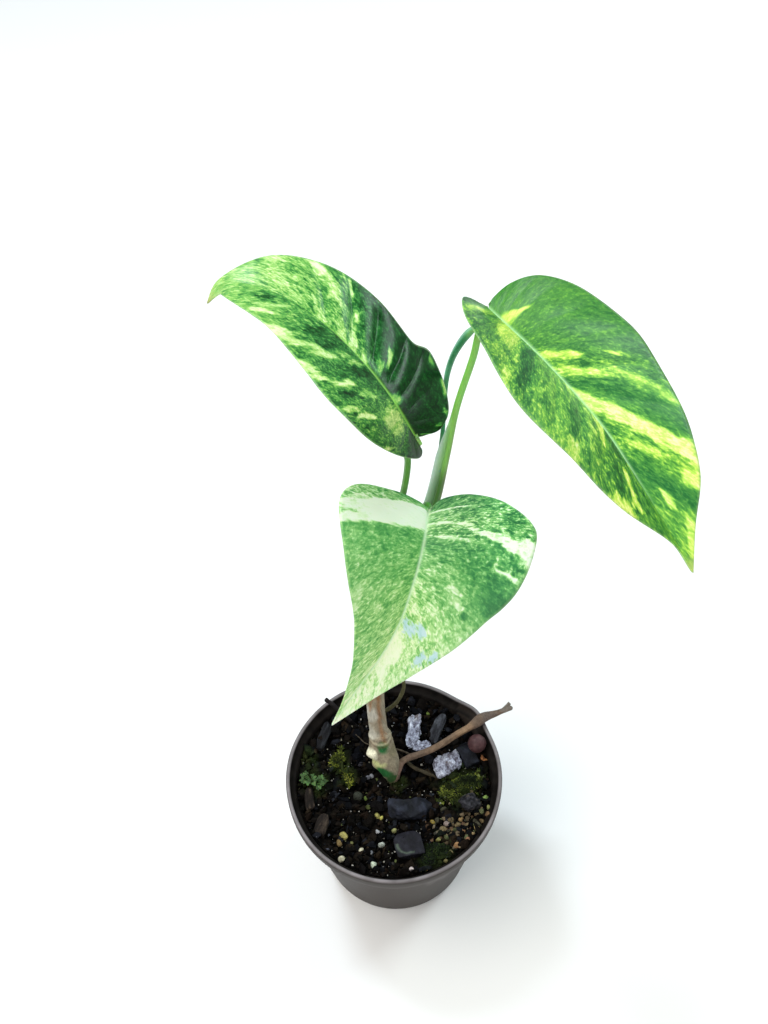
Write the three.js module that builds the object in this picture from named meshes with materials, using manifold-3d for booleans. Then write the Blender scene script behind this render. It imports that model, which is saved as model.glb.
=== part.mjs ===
// Potted Epipremnum pinnatum: three variegated leaves on a short cane, in a 9 cm nursery pot.
// Millimetres, +Z up. The origin is the centre of the pot's flat underside. The front faces -Y.
import * as THREE from "three";
import { mergeVertices } from "three/addons/utils/BufferGeometryUtils.js";
import Module from "manifold-3d";

const wasm = await Module();
wasm.setup();

// Driving dimensions
const gap = 0.3;
const pot = {
  height: 72.8,
  rimRadius: 45,
  baseRadius: 32.6,
  wall: 0.9,
  floor: 1.6,
  lipHeight: 5.2,
  lipReach: 2.2,
  lipWall: 1.7,
  sides: 48,
  drainHoles: 6,
  drainRadius: 3.5,
  drainRing: 23,
};
// The dry root that lies over the rim has pushed the plastic out here.
const dent = { angle: 38, spread: 9, reach: 2.1, from: 50 };
const soil = { level: 64, sides: 42, rings: 7, grains: 26, grainRadius: [0.9, 1.8] };
const blade = { above: 0.3, below: 0.4, ridge: 0.9, ridgeWidth: 1.6, rows: 30 };
// Where the side veins leave the midrib, and how far they bend towards the tip on their way out.
const veins = { first: 0.06, crowding: 2.8, last: 0.985, sweep: 0.16 };
const columns = [0, 0.1, 0.28, 0.5, 0.75, 1];
const wave = { reach: 0.5, count: 3.5 };
const knee = { length: 6, into: 4, swell: 0.35, end: 0.8 };
// The stalk: wider where it clasps the cane, with the sheath's wing on its left.
const stalk = { foot: 0.5, footTo: 0.16, taperTo: 0.8, wingFade: 0.16, wingSpread: 0.5 };

// Each leaf: the midrib's points in space, the way its face looks at the base and at the tip, the rise of
// both halves from the midrib at the base and at the tip (degrees), and the outline of each half laid flat:
// along the midrib, and across it. The petiole's points go up from the cane.
const leaves = {
  left: {
    midrib: [[10.5, 37.3, 249.3], [3.3, 48.2, 256.1], [-5.3, 57.9, 262.8], [-15.3, 66.7, 268.8],
      [-26.6, 74.8, 272.9], [-39.2, 81.2, 274.5], [-49, 83.2, 272.5], [-55.1, 79.5, 268.1]],
    faceBase: [0.68, 0.12, 0.72],
    faceTip: [-0.24, 0.1, 0.96],
    fold: [12, 18],
    plus: [[-0.6, 0.9], [-1.3, 5.1], [-1.3, 14], [4.2, 22.9], [19.6, 29.2], [25.8, 22.8], [40.4, 22.1],
      [54.5, 20.2], [69.1, 14.2], [81, 4.8], [90.8, 0]],
    minus: [[-0.6, -0.9], [-4.8, -0.6], [-7.3, -9.2], [-3.5, -21.5], [5.2, -30.7], [21, -32.2],
      [36.2, -27.3], [51.1, -21.7], [65.3, -17.2], [76.3, -12], [90.8, 0]],
    petiole: [[-4.6, 29.5, 131], [-3.9, 34.6, 151], [-0.5, 39.2, 176], [4.1, 41, 199.5],
      [7.1, 40.6, 217.5], [8.3, 38.4, 235.5]],
    radius: [1.8, 1.1],
    wing: 0.7,
    wingTo: 0.5,
  },
  front: {
    midrib: [[15.3, 35.9, 211.5], [12.6, 24.3, 205.6], [8.6, 14.1, 197.4], [3.6, 5.8, 186.8],
      [-3.6, -0.4, 174.4], [-12.2, -5.8, 161.6], [-20.8, -11.6, 148.6]],
    faceBase: [0.2, -0.5, 0.84],
    faceTip: [0.36, -0.86, 0.3],
    fold: [25, 20],
    plus: [[-0.6, 0.9], [-2, 6.3], [-3, 15.9], [-1.7, 29.7], [6.3, 34.3], [22, 29.1], [35.7, 21.6],
      [49.9, 15.1], [64.2, 8.8], [77.4, 3.6], [91.4, 0]],
    minus: [[-0.6, -0.9], [-4.6, -4.6], [-7.2, -14.3], [-5.6, -26.4], [2.5, -36.8], [18.6, -35],
      [32.9, -26.6], [46.9, -17.9], [62, -11.5], [76.1, -6.1], [91.4, 0]],
    petiole: [[-3.6, 24.5, 117], [1.2, 28.6, 136], [7, 33, 160], [11.2, 36.4, 182], [13.8, 38.2, 199]],
    radius: [2, 1.3],
    wing: 0.8,
    wingTo: 0.5,
  },
  right: {
    midrib: [[33.4, 54, 287], [44.8, 43.3, 281.7], [55.5, 31.8, 276.2], [65.1, 19.7, 270.5],
      [72.8, 6.8, 265], [80.2, -6.6, 259.4], [87, -20, 254]],
    faceBase: [0.49, 0.14, 0.86],
    faceTip: [0.28, -0.18, 0.94],
    fold: [20, 24],
    plus: [[-0.6, 0.9], [-3.2, 6.1], [-5.8, 13], [1.4, 26.3], [13.4, 31.9], [29.5, 34.4], [45.5, 31],
      [60.3, 24], [74.6, 15.6], [88.4, 2.2], [98, 0]],
    minus: [[-0.6, -0.9], [-2, -4.9], [-2, -14.9], [2, -26.4], [12.6, -34.6], [28.5, -34.5],
      [43.9, -29.6], [59.5, -24.5], [74.1, -17.4], [86.1, -7.8], [98, 0]],
    petiole: [[-0.6, 33.5, 146], [5.4, 39.4, 166], [12.6, 43.6, 184], [18, 46, 201], [22, 47.6, 226],
      [25.9, 49.4, 250], [31, 51.6, 270]],
    radius: [2.4, 1.1],
    wing: 2.1,
    wingTo: 0.72,
  },
};
const arch = -4; // degrees that a half bends down again for each 10 mm across

// The cane's foot swells from one height to the next and ends in a ring, above which it is narrow.
const cane = {
  path: [[-0.4, 2.4, 48], [-0.6, 3.2, 64], [-4.6, 12.2, 80], [-6, 17.2, 92], [-6.4, 21, 104],
    [-5.2, 27, 121], [-2.8, 31.6, 137], [-0.4, 35.2, 152]],
  foot: 2.9,
  swollen: 5,
  radius: 3.7,
  thinning: 0.7,
  swells: [62, 73],
  narrows: [80, 88],
  thins: [104, 140],
  top: [149, 152],
  scars: [84, 112, 126, 140],
  scarReach: 0.35,
  scarHeight: 1.1,
};
// Two swellings at the foot: the bud above the soil, and the one that the old root grows from.
const caneBud = { at: [-8.4, 9.4, 76.4], half: [2.3, 2.3, 3], turn: 20 };
const caneHeel = { at: [-6.2, 6.4, 71.5], half: [2.6, 2.2, 2.6] };
// The youngest leaf, still rolled up. It leans behind the left leaf and ends behind the right one.
const youngShoot = {
  path: [[19.2, 46.6, 218], [19.7, 49.8, 225.5], [20.9, 56.5, 229.4], [21.8, 64.2, 234],
    [22.6, 68.4, 241.6], [24.2, 69.2, 249.5], [26.6, 68, 258], [29.6, 66.1, 265.5], [34.8, 62.8, 274.2]],
  radius: [0.75, 1.25],
  point: 0.2,
};
const dryRoot = {
  path: [[0.2, 2.2, 62.5], [1.2, 2.1, 65.9], [1.8, 4, 68.4], [3.4, 6.8, 70.4], [6.4, 8.5, 71.4],
    [10.2, 9.2, 72.3], [16.2, 11, 72.8], [25.8, 16.2, 73.9], [33.2, 20, 74.7], [39.3, 23.9, 75.5],
    [45.4, 25.4, 76.2], [51.7, 27.1, 77.3]],
  radius: 1.55,
  swell: { at: 0.77, spread: 0.07, reach: 0.75 },
  thinning: 0.35,
  fork: [[46.6, 25.9, 76.2], [49, 27.6, 77.2], [50.6, 29, 77.9]],
  forkRadius: 0.8,
};
const thinRoot = {
  path: [[3.2, 11.6, 61], [5.1, 9.7, 66], [7.9, 6.6, 66.9], [12, 4.3, 66.6], [17, 2.5, 65.4],
    [19.6, 2.2, 62.2]],
  radius: 0.75,
};
const oliveRoot = {
  path: [[-3.8, 25, 115], [0.6, 28.2, 110.5], [4.4, 29.2, 106], [5.6, 26.5, 102.9], [4.9, 24.9, 99.3],
    [3, 23.7, 94.7], [0.4, 23, 90.6], [-2.4, 22.4, 87.7], [-3, 24.4, 76], [-2.6, 27, 60]],
  radius: 0.8,
};
const darkTwig = {
  path: [[-28.1, 34.2, 77.4], [-24, 32.2, 73.6], [-15.5, 28.2, 62]],
  radius: [0.9, 0.8],
};

// Loose things bedded in the soil: centre, half sizes, turn about Z and tilt in degrees.
const bedded = [
  { name: "bark_mouldy_left", finish: "mould", at: [9.4, 22.4, 65.8], half: [2.9, 8, 2.5], turn: -8,
    tilt: 4, foot: { at: [12.6, 15.8, 65.4], half: [4.2, 2.4, 2.1] } },
  { name: "bark_mouldy_right", finish: "mould", at: [23.8, 6.6, 65.7], half: [5.3, 4.4, 2.4], turn: 20 },
  { name: "bark_dark", finish: "bark", at: [19.6, 24.2, 65.9], half: [2.3, 7, 2.2], turn: -24, tilt: 6 },
  { name: "bark_grey_left", finish: "bark", at: [-29.6, 22.4, 65.6], half: [2.1, 6.6, 2], turn: -24,
    tilt: 3 },
  { name: "bark_brown_left", finish: "bark", at: [-35.6, -6, 65.3], half: [2, 4.8, 1.9], turn: 8 },
  { name: "bark_brown_front", finish: "bark", at: [-30.6, -17.6, 65.3], half: [2.7, 5, 2.1], turn: -22 },
  { name: "charcoal_blue", finish: "charcoal", at: [31.8, 11.2, 66], half: [3.2, 5.4, 2.4], turn: 24 },
  { name: "charcoal_lump", finish: "charcoal", at: [6.8, -12, 65.6], half: [9.6, 4.5, 3], turn: 3 },
  { name: "charcoal_plate", finish: "charcoal", at: [4.9, -27.2, 65.8], half: [6, 5.6, 2], turn: 12,
    tilt: -8 },
  { name: "charcoal_round", finish: "charcoal", at: [31.4, -10.4, 66.2], half: [4, 4, 3.9], turn: 30 },
  { name: "clay_ball", finish: "clay", at: [35.8, 14, 71], half: [3.9, 3.9, 3.9], smooth: true },
];
const mossy = [
  { name: "moss_right", at: [28.2, -2.4, 64.6], half: [10, 4, 1.9], turn: 20, tufts: 15 },
  { name: "moss_front", at: [15.6, -31.4, 64.6], half: [6, 4.6, 1.8], turn: 25, tufts: 10 },
  { name: "moss_left", at: [-23.6, 11.6, 64.6], half: [2.7, 4.2, 1.7], turn: -20, tufts: 6 },
  { name: "moss_left_low", at: [-19.2, 3.4, 64.5], half: [1.8, 4, 1.6], turn: 22, tufts: 5 },
];
const lump = { rough: 0.17, even: 0.015 };
const tuft = { radius: 0.6, height: 1.6, spread: 0.9, lean: 0.7 };
const seedling = {
  at: [-33.6, 0.6],
  depth: 2.5,
  leaflets: 5,
  reach: 4.2,
  height: 5,
  leafletLength: 3,
  leafletThickness: 0.6,
  leafletRise: 14,
  footRadius: 0.75,
  stemRadius: 0.42,
};
const goldenTurn = 2.4; // radians between one sprig and the next

const finishes = {
  pot: { color: "#625c59", roughness: 0.55 },
  soil: { color: "#1d1917", roughness: 0.95 },
  leafDark: { color: "#2f7a2c", roughness: 0.35 },
  leafPale: { color: "#7fb45e", roughness: 0.35 },
  petiole: { color: "#6aa544", roughness: 0.45 },
  cane: { color: "#a2967b", roughness: 0.7 },
  dryRoot: { color: "#7d6656", roughness: 0.85 },
  root: { color: "#8b8a5c", roughness: 0.7 },
  bark: { color: "#4a4340", roughness: 0.9 },
  mould: { color: "#a49fae", roughness: 0.95 },
  charcoal: { color: "#33343d", roughness: 0.85 },
  clay: { color: "#5d3a35", roughness: 0.75 },
  moss: { color: "#55702a", roughness: 0.95 },
  seedling: { color: "#5f9a4a", roughness: 0.5 },
};

const plant = new THREE.Group();
const radians = THREE.MathUtils.degToRad;
const vector = ([x, y, z]) => new THREE.Vector3(x, y, z);

// The same numbers between 0 and 1 at each run, for a seed.
function seeded(seed) {
  let state = seed;
  return () => {
    state = (state + 0x6d2b79f5) | 0;
    let mixed = Math.imul(state ^ (state >>> 15), 1 | state);
    mixed = (mixed + Math.imul(mixed ^ (mixed >>> 7), 61 | mixed)) ^ mixed;
    return ((mixed ^ (mixed >>> 14)) >>> 0) / 4294967296;
  };
}

// A closed three.js geometry as a solid that can be joined and cut.
function solidOf(geometry) {
  const bare = new THREE.BufferGeometry();
  bare.setAttribute("position", geometry.getAttribute("position").clone());
  bare.setIndex(geometry.getIndex());
  const merged = mergeVertices(bare, 1e-4);
  const vertProperties = new Float32Array(merged.getAttribute("position").array);
  const triVerts = new Uint32Array(merged.getIndex().array);
  return new wasm.Manifold(new wasm.Mesh({ numProp: 3, vertProperties, triVerts }));
}

function geometryOf(solid) {
  const { vertProperties, triVerts } = solid.getMesh();
  const geometry = new THREE.BufferGeometry();
  geometry.setAttribute("position", new THREE.BufferAttribute(new Float32Array(vertProperties), 3));
  geometry.setIndex(new THREE.BufferAttribute(new Uint32Array(triVerts), 1));
  geometry.computeVertexNormals();
  return geometry;
}

function addPiece(name, solid, finish) {
  const mesh = new THREE.Mesh(
    geometryOf(solid),
    new THREE.MeshStandardMaterial({ ...finishes[finish], metalness: 0 }),
  );
  mesh.name = name;
  plant.add(mesh);
}

// A round, tapered body along a curve: a cylinder whose rings are carried along the path.
// radius(along, angle) gives the reach of each point, and the ring's first direction at the start
// leans towards +X.
function tubeAlong(curve, steps, sides, radius, from = 0, to = 1) {
  const frames = [];
  let across = new THREE.Vector3(1, 0, 0);
  for (let i = 0; i <= steps; i++) {
    const along = from + ((to - from) * i) / steps;
    const tangent = curve.getTangentAt(along);
    across = across.clone().addScaledVector(tangent, -across.dot(tangent)).normalize();
    const third = across.clone().cross(tangent);
    frames.push({ point: curve.getPointAt(along), across, third, along });
  }
  const geometry = new THREE.CylinderGeometry(1, 1, 1, sides, steps);
  const position = geometry.getAttribute("position");
  for (let i = 0; i < position.count; i++) {
    const frame = frames[Math.round((position.getY(i) + 0.5) * steps)];
    const share = Math.hypot(position.getX(i), position.getZ(i));
    const angle = Math.atan2(position.getZ(i), position.getX(i));
    const reach = share * radius(frame.along, angle);
    const place = frame.point
      .clone()
      .addScaledVector(frame.across, Math.cos(angle) * reach)
      .addScaledVector(frame.third, Math.sin(angle) * reach);
    position.setXYZ(i, place.x, place.y, place.z);
  }
  return solidOf(geometry);
}

const curveOf = (points) => new THREE.CatmullRomCurve3(points.map(vector));
const smooth = THREE.MathUtils.smoothstep;
const mix = THREE.MathUtils.lerp;

// A bump of height 1 round a middle value.
const bump = (value, middle, spread) => Math.exp(-(((value - middle) / spread) ** 2));

// Pot

const potInner = (z) => mix(pot.baseRadius, pot.rimRadius - pot.lipReach, z / pot.height) - pot.wall;

function potSolid() {
  const { height, rimRadius, baseRadius, wall, floor, lipHeight, lipWall } = pot;
  const under = height - lipHeight;
  const wallAtLip = potInner(under) + wall;
  const lipInner = rimRadius - lipWall;
  const profile = [
    [0, 0],
    [baseRadius - 1.2, 0],
    [baseRadius, 1.2],
    [mix(baseRadius, wallAtLip, 0.5), under / 2],
    [wallAtLip, under],
    [rimRadius - 0.4, under],
    [rimRadius, under + 0.6],
    [rimRadius, height - 0.9],
    [rimRadius - 0.8, height],
    [lipInner + 0.5, height],
    [lipInner, height - 0.8],
    [lipInner, under + 1.6],
    [potInner(under + 0.4), under + 0.4],
    [potInner(under / 2), under / 2],
    [potInner(floor), floor],
    [0, floor],
  ].map(([r, z]) => new THREE.Vector2(r, z));
  const geometry = new THREE.LatheGeometry(profile, pot.sides);
  geometry.rotateX(Math.PI / 2);
  const position = geometry.getAttribute("position");
  for (let i = 0; i < position.count; i++) {
    const [x, y, z] = [position.getX(i), position.getY(i), position.getZ(i)];
    const turn = THREE.MathUtils.radToDeg(Math.atan2(y, x));
    const push = dent.reach * bump(turn, dent.angle, dent.spread) * smooth(z, dent.from, height);
    const radius = Math.hypot(x, y) || 1;
    position.setXYZ(i, x * (1 + push / radius), y * (1 + push / radius), z);
  }
  let solid = solidOf(geometry);
  for (let i = 0; i < pot.drainHoles; i++) {
    const turn = (i / pot.drainHoles) * Math.PI * 2;
    const hole = new THREE.CylinderGeometry(pot.drainRadius, pot.drainRadius, 4 * floor, 14);
    hole.rotateX(Math.PI / 2);
    hole.translate(pot.drainRing * Math.cos(turn), pot.drainRing * Math.sin(turn), 0);
    solid = solid.subtract(solidOf(hole));
  }
  return solid;
}

// Loose pieces: a ball of triangles whose points are pushed in and out by the seed, which is then
// stretched, tilted and turned. The pocket that holds it is the same ball, larger by the gap.

function lumpSolid({ at, half, turn = 0, tilt = 0, smooth: even }, seed, grow = 0) {
  const geometry = new THREE.IcosahedronGeometry(1, even ? 2 : 1);
  const position = geometry.getAttribute("position");
  const rough = even ? lump.even : lump.rough;
  for (let i = 0; i < position.count; i++) {
    const point = new THREE.Vector3().fromBufferAttribute(position, i);
    const ripple =
      Math.sin(point.x * 5.1 + seed) +
      Math.sin(point.y * 4.3 + seed * 2) +
      Math.sin(point.z * 6.2 + seed * 3);
    point.multiplyScalar(1 - rough * 0.5 + (rough * ripple) / 3);
    const [x, y, z] = half.map((reach) => reach + grow);
    position.setXYZ(i, point.x * x, point.y * y, point.z * z);
  }
  geometry.rotateX(radians(tilt));
  geometry.rotateZ(radians(turn));
  geometry.translate(...at);
  return solidOf(geometry);
}

function beddedSolid(piece, seed, grow = 0) {
  const body = lumpSolid(piece, seed, grow);
  return piece.foot ? body.add(lumpSolid(piece.foot, seed + 5, grow)) : body;
}

// Moss: a low mound that tufts of three-sided points stand out of.
function mossSolid({ at, half, turn, tufts }, seed, grow = 0) {
  const mound = new THREE.IcosahedronGeometry(1, half[0] > 4 ? 2 : 1);
  mound.scale(half[0] + grow, half[1] + grow, half[2] + grow);
  mound.rotateZ(radians(turn));
  mound.translate(...at);
  let solid = solidOf(mound);
  if (grow > 0) return solid;
  const random = seeded(seed);
  for (let i = 0; i < tufts; i++) {
    const way = i * goldenTurn;
    const out = 0.85 * Math.sqrt((i + 0.5) / tufts);
    const [x, y] = [out * half[0] * Math.cos(way), out * half[1] * Math.sin(way)];
    const height = tuft.height + random() * tuft.spread;
    const point = new THREE.ConeGeometry(tuft.radius, height, 3);
    point.rotateX(Math.PI / 2);
    point.rotateY((random() - 0.5) * tuft.lean);
    point.translate(x, y, half[2] * Math.sqrt(1 - out * out) + height * 0.2);
    point.rotateZ(radians(turn));
    point.translate(...at);
    solid = solid.add(solidOf(point));
  }
  return solid;
}

// Leaves

// A point of a uniform Catmull-Rom line through the points, its ends mirrored.
function lineAt(points, share) {
  const spans = points.length - 1;
  const place = Math.min(Math.max(share, 0), 1) * spans;
  const first = Math.min(Math.floor(place), spans - 1);
  const weight = place - first;
  const [b, c] = [points[first], points[first + 1]];
  const a = first > 0 ? points[first - 1] : b.map((value, i) => 2 * value - c[i]);
  const d = first + 2 <= spans ? points[first + 2] : c.map((value, i) => 2 * value - b[i]);
  return b.map((value, i) => {
    const linear = c[i] - a[i];
    const square = 2 * a[i] - 5 * value + 4 * c[i] - d[i];
    const cube = 3 * value - a[i] - 3 * c[i] + d[i];
    return 0.5 * (2 * value + linear * weight + square * weight ** 2 + cube * weight ** 3);
  });
}

// The midrib as evenly measured points, with its direction, face and side at each.
function midribOf(leaf) {
  const count = 240;
  const points = Array.from({ length: count + 1 }, (_, i) => vector(lineAt(leaf.midrib, i / count)));
  const lengths = [0];
  for (let i = 1; i <= count; i++) lengths.push(lengths[i - 1] + points[i].distanceTo(points[i - 1]));
  const total = lengths[count];
  const [base, tip] = [vector(leaf.faceBase).normalize(), vector(leaf.faceTip).normalize()];
  return { points, lengths, total, base, tip };
}

function midribAt(midrib, along) {
  const { points, lengths, total } = midrib;
  const held = Math.min(Math.max(along, 0), total);
  let i = 1;
  while (i < lengths.length - 1 && lengths[i] < held) i++;
  const share = (held - lengths[i - 1]) / (lengths[i] - lengths[i - 1]);
  const point = points[i - 1].clone().lerp(points[i], share);
  const before = points[Math.max(i - 2, 0)];
  const after = points[Math.min(i + 1, points.length - 1)];
  const direction = after.clone().sub(before).normalize();
  const face = midrib.base.clone().lerp(midrib.tip, held / total);
  face.addScaledVector(direction, -face.dot(direction)).normalize();
  const side = direction.clone().cross(face);
  return { point, direction, face, side, share: held / total, beyond: along - held };
}

// A flat place on the blade, lifted into space: across the midrib a half rises by the fold and arches
// down again.
function liftedPoint(leaf, midrib, along, across, lift = 0) {
  const at = midribAt(midrib, along);
  const rise = radians(mix(leaf.fold[0], leaf.fold[1], at.share));
  const bend = radians(arch) / 10;
  const reach = Math.abs(across);
  const outward = (Math.sin(rise + bend * reach) - Math.sin(rise)) / bend;
  const upward = (Math.cos(rise) - Math.cos(rise + bend * reach)) / bend;
  return at.point
    .addScaledVector(at.direction, at.beyond)
    .addScaledVector(at.side, Math.sign(across) * outward)
    .addScaledVector(at.face, upward + lift);
}

// A side vein's root on the midrib, and its way to the margin. share goes round the margin from the base
// to the tip.
function flatPlace(leaf, midrib, outline, share, out) {
  const rootShare = mix(share ** veins.crowding, share, veins.first);
  const root = veins.last * midrib.total * rootShare;
  const [edgeAlong, edgeAcross] = lineAt(outline, share);
  const sweep = veins.sweep * Math.abs(edgeAcross) * out * (1 - out);
  return [mix(root, edgeAlong, out) - sweep, edgeAcross * out];
}

function waveAt(share, out, shift) {
  const swing = Math.sin(Math.PI * 2 * wave.count * share + shift);
  return wave.reach * out ** 2 * Math.sin(Math.PI * share) * swing;
}

function bladeSolid(leaf, seed) {
  const midrib = midribOf(leaf);
  const halves = [leaf.plus, leaf.minus];
  const surface = (half, share, out) => {
    const [along, across] = flatPlace(leaf, midrib, halves[half], share, out);
    return liftedPoint(leaf, midrib, along, across, waveAt(share, out, seed + half * 2));
  };
  const top = [];
  const under = [];
  const step = 0.004;
  halves.forEach((_, half) => {
    for (let row = 0; row <= blade.rows; row++) {
      const share = row / blade.rows;
      for (const out of columns) {
        const point = surface(half, share, out);
        const [along, across] = flatPlace(leaf, midrib, halves[half], share, out);
        let normal = midribAt(midrib, along).face;
        if (out > 0 && row < blade.rows) {
          const near = surface(half, Math.max(share - step, 0), out);
          const onward = surface(half, Math.min(share + step, 1), out).sub(near);
          const inner = surface(half, share, out - step);
          const outward = surface(half, share, Math.min(out + step, 1)).sub(inner);
          const cross = half === 0 ? outward.cross(onward) : onward.cross(outward);
          if (cross.length() > 1e-7) normal = cross.normalize();
        }
        const ridge = blade.ridge * bump(across, 0, blade.ridgeWidth) * (1 - 0.7 * share);
        top.push(point.clone().addScaledVector(normal, blade.above));
        under.push(point.clone().addScaledVector(normal, -blade.below - ridge));
      }
    }
  });
  const width = columns.length;
  const perHalf = (blade.rows + 1) * width;
  const last = width - 1;
  const index = [];
  const at = (half, row, column, side) => side * 2 * perHalf + half * perHalf + row * width + column;
  const quad = (corners, turned) => {
    const [a, b, c, d] = turned ? [...corners].reverse() : corners;
    index.push(a, b, c, a, c, d);
  };
  for (let half = 0; half < 2; half++) {
    const turned = half === 0;
    for (let row = 0; row < blade.rows; row++) {
      for (let column = 0; column < last; column++) {
        for (const side of [0, 1]) {
          const corners = [
            at(half, row, column, side),
            at(half, row + 1, column, side),
            at(half, row + 1, column + 1, side),
            at(half, row, column + 1, side),
          ];
          quad(corners, turned === (side === 0));
        }
      }
      const rim = [
        at(half, row, last, 0),
        at(half, row + 1, last, 0),
        at(half, row + 1, last, 1),
        at(half, row, last, 1),
      ];
      quad(rim, turned);
    }
    for (let column = 0; column < last; column++) {
      const start = [
        at(half, 0, column, 0),
        at(half, 0, column + 1, 0),
        at(half, 0, column + 1, 1),
        at(half, 0, column, 1),
      ];
      quad(start, turned);
    }
  }
  const geometry = new THREE.BufferGeometry().setFromPoints([...top, ...under]);
  geometry.setIndex(index);
  return solidOf(geometry);
}

// The leaf's stalk runs on one curve from the cane to the underside of the midrib. Its last stretch is
// the knee, which is part of the blade.
function stalkCurve(leaf) {
  const start = midribAt(midribOf(leaf), 0);
  const from = (along, below) =>
    start.point.clone().addScaledVector(start.direction, along).addScaledVector(start.face, -below);
  const points = [...leaf.petiole.map(vector), from(-1.5, 5), from(-0.6, 2.2), from(4, 0.95)];
  return new THREE.CatmullRomCurve3(points);
}

function kneeSolid(leaf, curve) {
  const total = curve.getLength();
  const from = 1 - (knee.length + knee.into) / total;
  const reach = leaf.radius[1];
  const swell = (along) => {
    const share = (along - from) / (1 - from);
    const fat = knee.swell * Math.sin(Math.PI * Math.min(share * 1.6, 1));
    return reach + fat - (reach - knee.end) * smooth(share, 0.55, 1);
  };
  return { solid: tubeAlong(curve, 10, 10, swell, from, 1), from: from - gap / total };
}

function stalkRadius(leaf, grow) {
  return (along, angle) => {
    const foot = stalk.foot * (1 - smooth(along, 0, stalk.footTo));
    const round = mix(leaf.radius[0], leaf.radius[1], smooth(along, 0, stalk.taperTo));
    const open = 1 - smooth(along, leaf.wingTo - stalk.wingFade, leaf.wingTo);
    const wing = leaf.wing * open * bump(Math.abs(angle), Math.PI, stalk.wingSpread);
    return round + wing + foot + grow;
  };
}

const leafFinish = { left: "leafDark", front: "leafPale", right: "leafDark" };
const caneCurve = curveOf(cane.path);
const heightCount = 80;
const caneHeights = caneCurve.getSpacedPoints(heightCount).map((point) => point.z);

// The cane's radius goes by its height: the swollen foot, the even body with its leaf scars, the dry end.
function caneRadius(grow) {
  return (along) => {
    const z = caneHeights[Math.round(along * heightCount)];
    const foot = mix(cane.foot, cane.swollen, smooth(z, ...cane.swells));
    const narrow = mix(foot, cane.radius, smooth(z, ...cane.narrows));
    const body = narrow - cane.thinning * smooth(z, ...cane.thins);
    const scarAt = (height) => cane.scarReach * bump(z, height, cane.scarHeight);
    const scar = cane.scars.reduce((sum, height) => sum + scarAt(height), 0);
    const end = 1 - 0.45 * smooth(z, ...cane.top);
    return body * end + scar + grow;
  };
}

const caneTube = (grow) => tubeAlong(caneCurve, 34, 12, caneRadius(grow));
const caneBody = caneTube(0).add(lumpSolid(caneBud, 4)).add(lumpSolid(caneHeel, 9));
const caneGrown = caneTube(gap).add(lumpSolid(caneHeel, 9, gap));
addPiece("cane", caneBody, "cane");

const shootCurve = curveOf(youngShoot.path);
const shootRadius = (grow) => (along) => {
  const body = mix(...youngShoot.radius, smooth(along, 0.3, 0.75));
  return grow + body - (youngShoot.radius[1] - youngShoot.point) * smooth(along, 0.8, 1);
};
const shootSolid = (grow) => tubeAlong(shootCurve, 26, 8, shootRadius(grow));

const oliveCurve = curveOf(oliveRoot.path);
const oliveSolid = (grow) => tubeAlong(oliveCurve, 24, 7, () => oliveRoot.radius + grow);

// Each stalk leaves room for the cane and for the stalks before it.
let taken = caneGrown.add(oliveSolid(gap));
for (const [order, name] of ["right", "left", "front"].entries()) {
  const leaf = leaves[name];
  const curve = stalkCurve(leaf);
  const bend = kneeSolid(leaf, curve);
  const stalkSolid = (grow) => tubeAlong(curve, 24, 10, stalkRadius(leaf, grow), 0, bend.from);
  let petiole = stalkSolid(0).subtract(taken);
  if (name === "right") petiole = petiole.subtract(shootSolid(gap));
  taken = taken.add(stalkSolid(gap));
  addPiece(`leaf_${name}_blade`, bladeSolid(leaf, order * 1.7).add(bend.solid), leafFinish[name]);
  addPiece(`leaf_${name}_petiole`, petiole, "petiole");
}
addPiece("young_shoot", shootSolid(0), "petiole");
addPiece("root_olive", oliveSolid(0).subtract(caneGrown), "root");

// The dry root is thicker where it lies on the rim, and splits at its end.
const dryCurve = curveOf(dryRoot.path);
const dryRadius = (grow) => (along) => {
  const swell = dryRoot.swell.reach * bump(along, dryRoot.swell.at, dryRoot.swell.spread);
  return dryRoot.radius + swell - dryRoot.thinning * smooth(along, 0.8, 1) + grow;
};
const forkSolid = (grow) => tubeAlong(curveOf(dryRoot.fork), 8, 7, () => dryRoot.forkRadius + grow);
const drySolid = (grow) => tubeAlong(dryCurve, 28, 8, dryRadius(grow)).add(forkSolid(grow));
addPiece("aerial_root_dry", drySolid(0).subtract(caneGrown), "dryRoot");

const thinCurve = curveOf(thinRoot.path);
const thinSolid = (grow) => tubeAlong(thinCurve, 18, 7, () => thinRoot.radius + grow);
addPiece("root_thin", thinSolid(0).subtract(drySolid(gap)), "root");

const twigCurve = curveOf(darkTwig.path);
const twigSolid = (grow) => tubeAlong(twigCurve, 12, 7, (along) => mix(...darkTwig.radius, along) + grow);
addPiece("twig_dark", twigSolid(0), "bark");

addPiece("pot", potSolid(), "pot");

// Soil: the pot's filling. Its top is uneven, with grains half sunk in it, and holes and pockets for
// what it holds.

function soilTop(x, y) {
  const lumps =
    0.7 * Math.sin(x / 4.1 + 1) * Math.cos(y / 5.3) +
    0.5 * Math.sin((x + y) / 2.9) +
    0.3 * Math.cos(x / 1.9 - y / 2.3);
  const edge = smooth(Math.hypot(x, y), 32, 41);
  return soil.level + lumps * (1 - 0.6 * edge) - 0.5 * edge;
}

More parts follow.
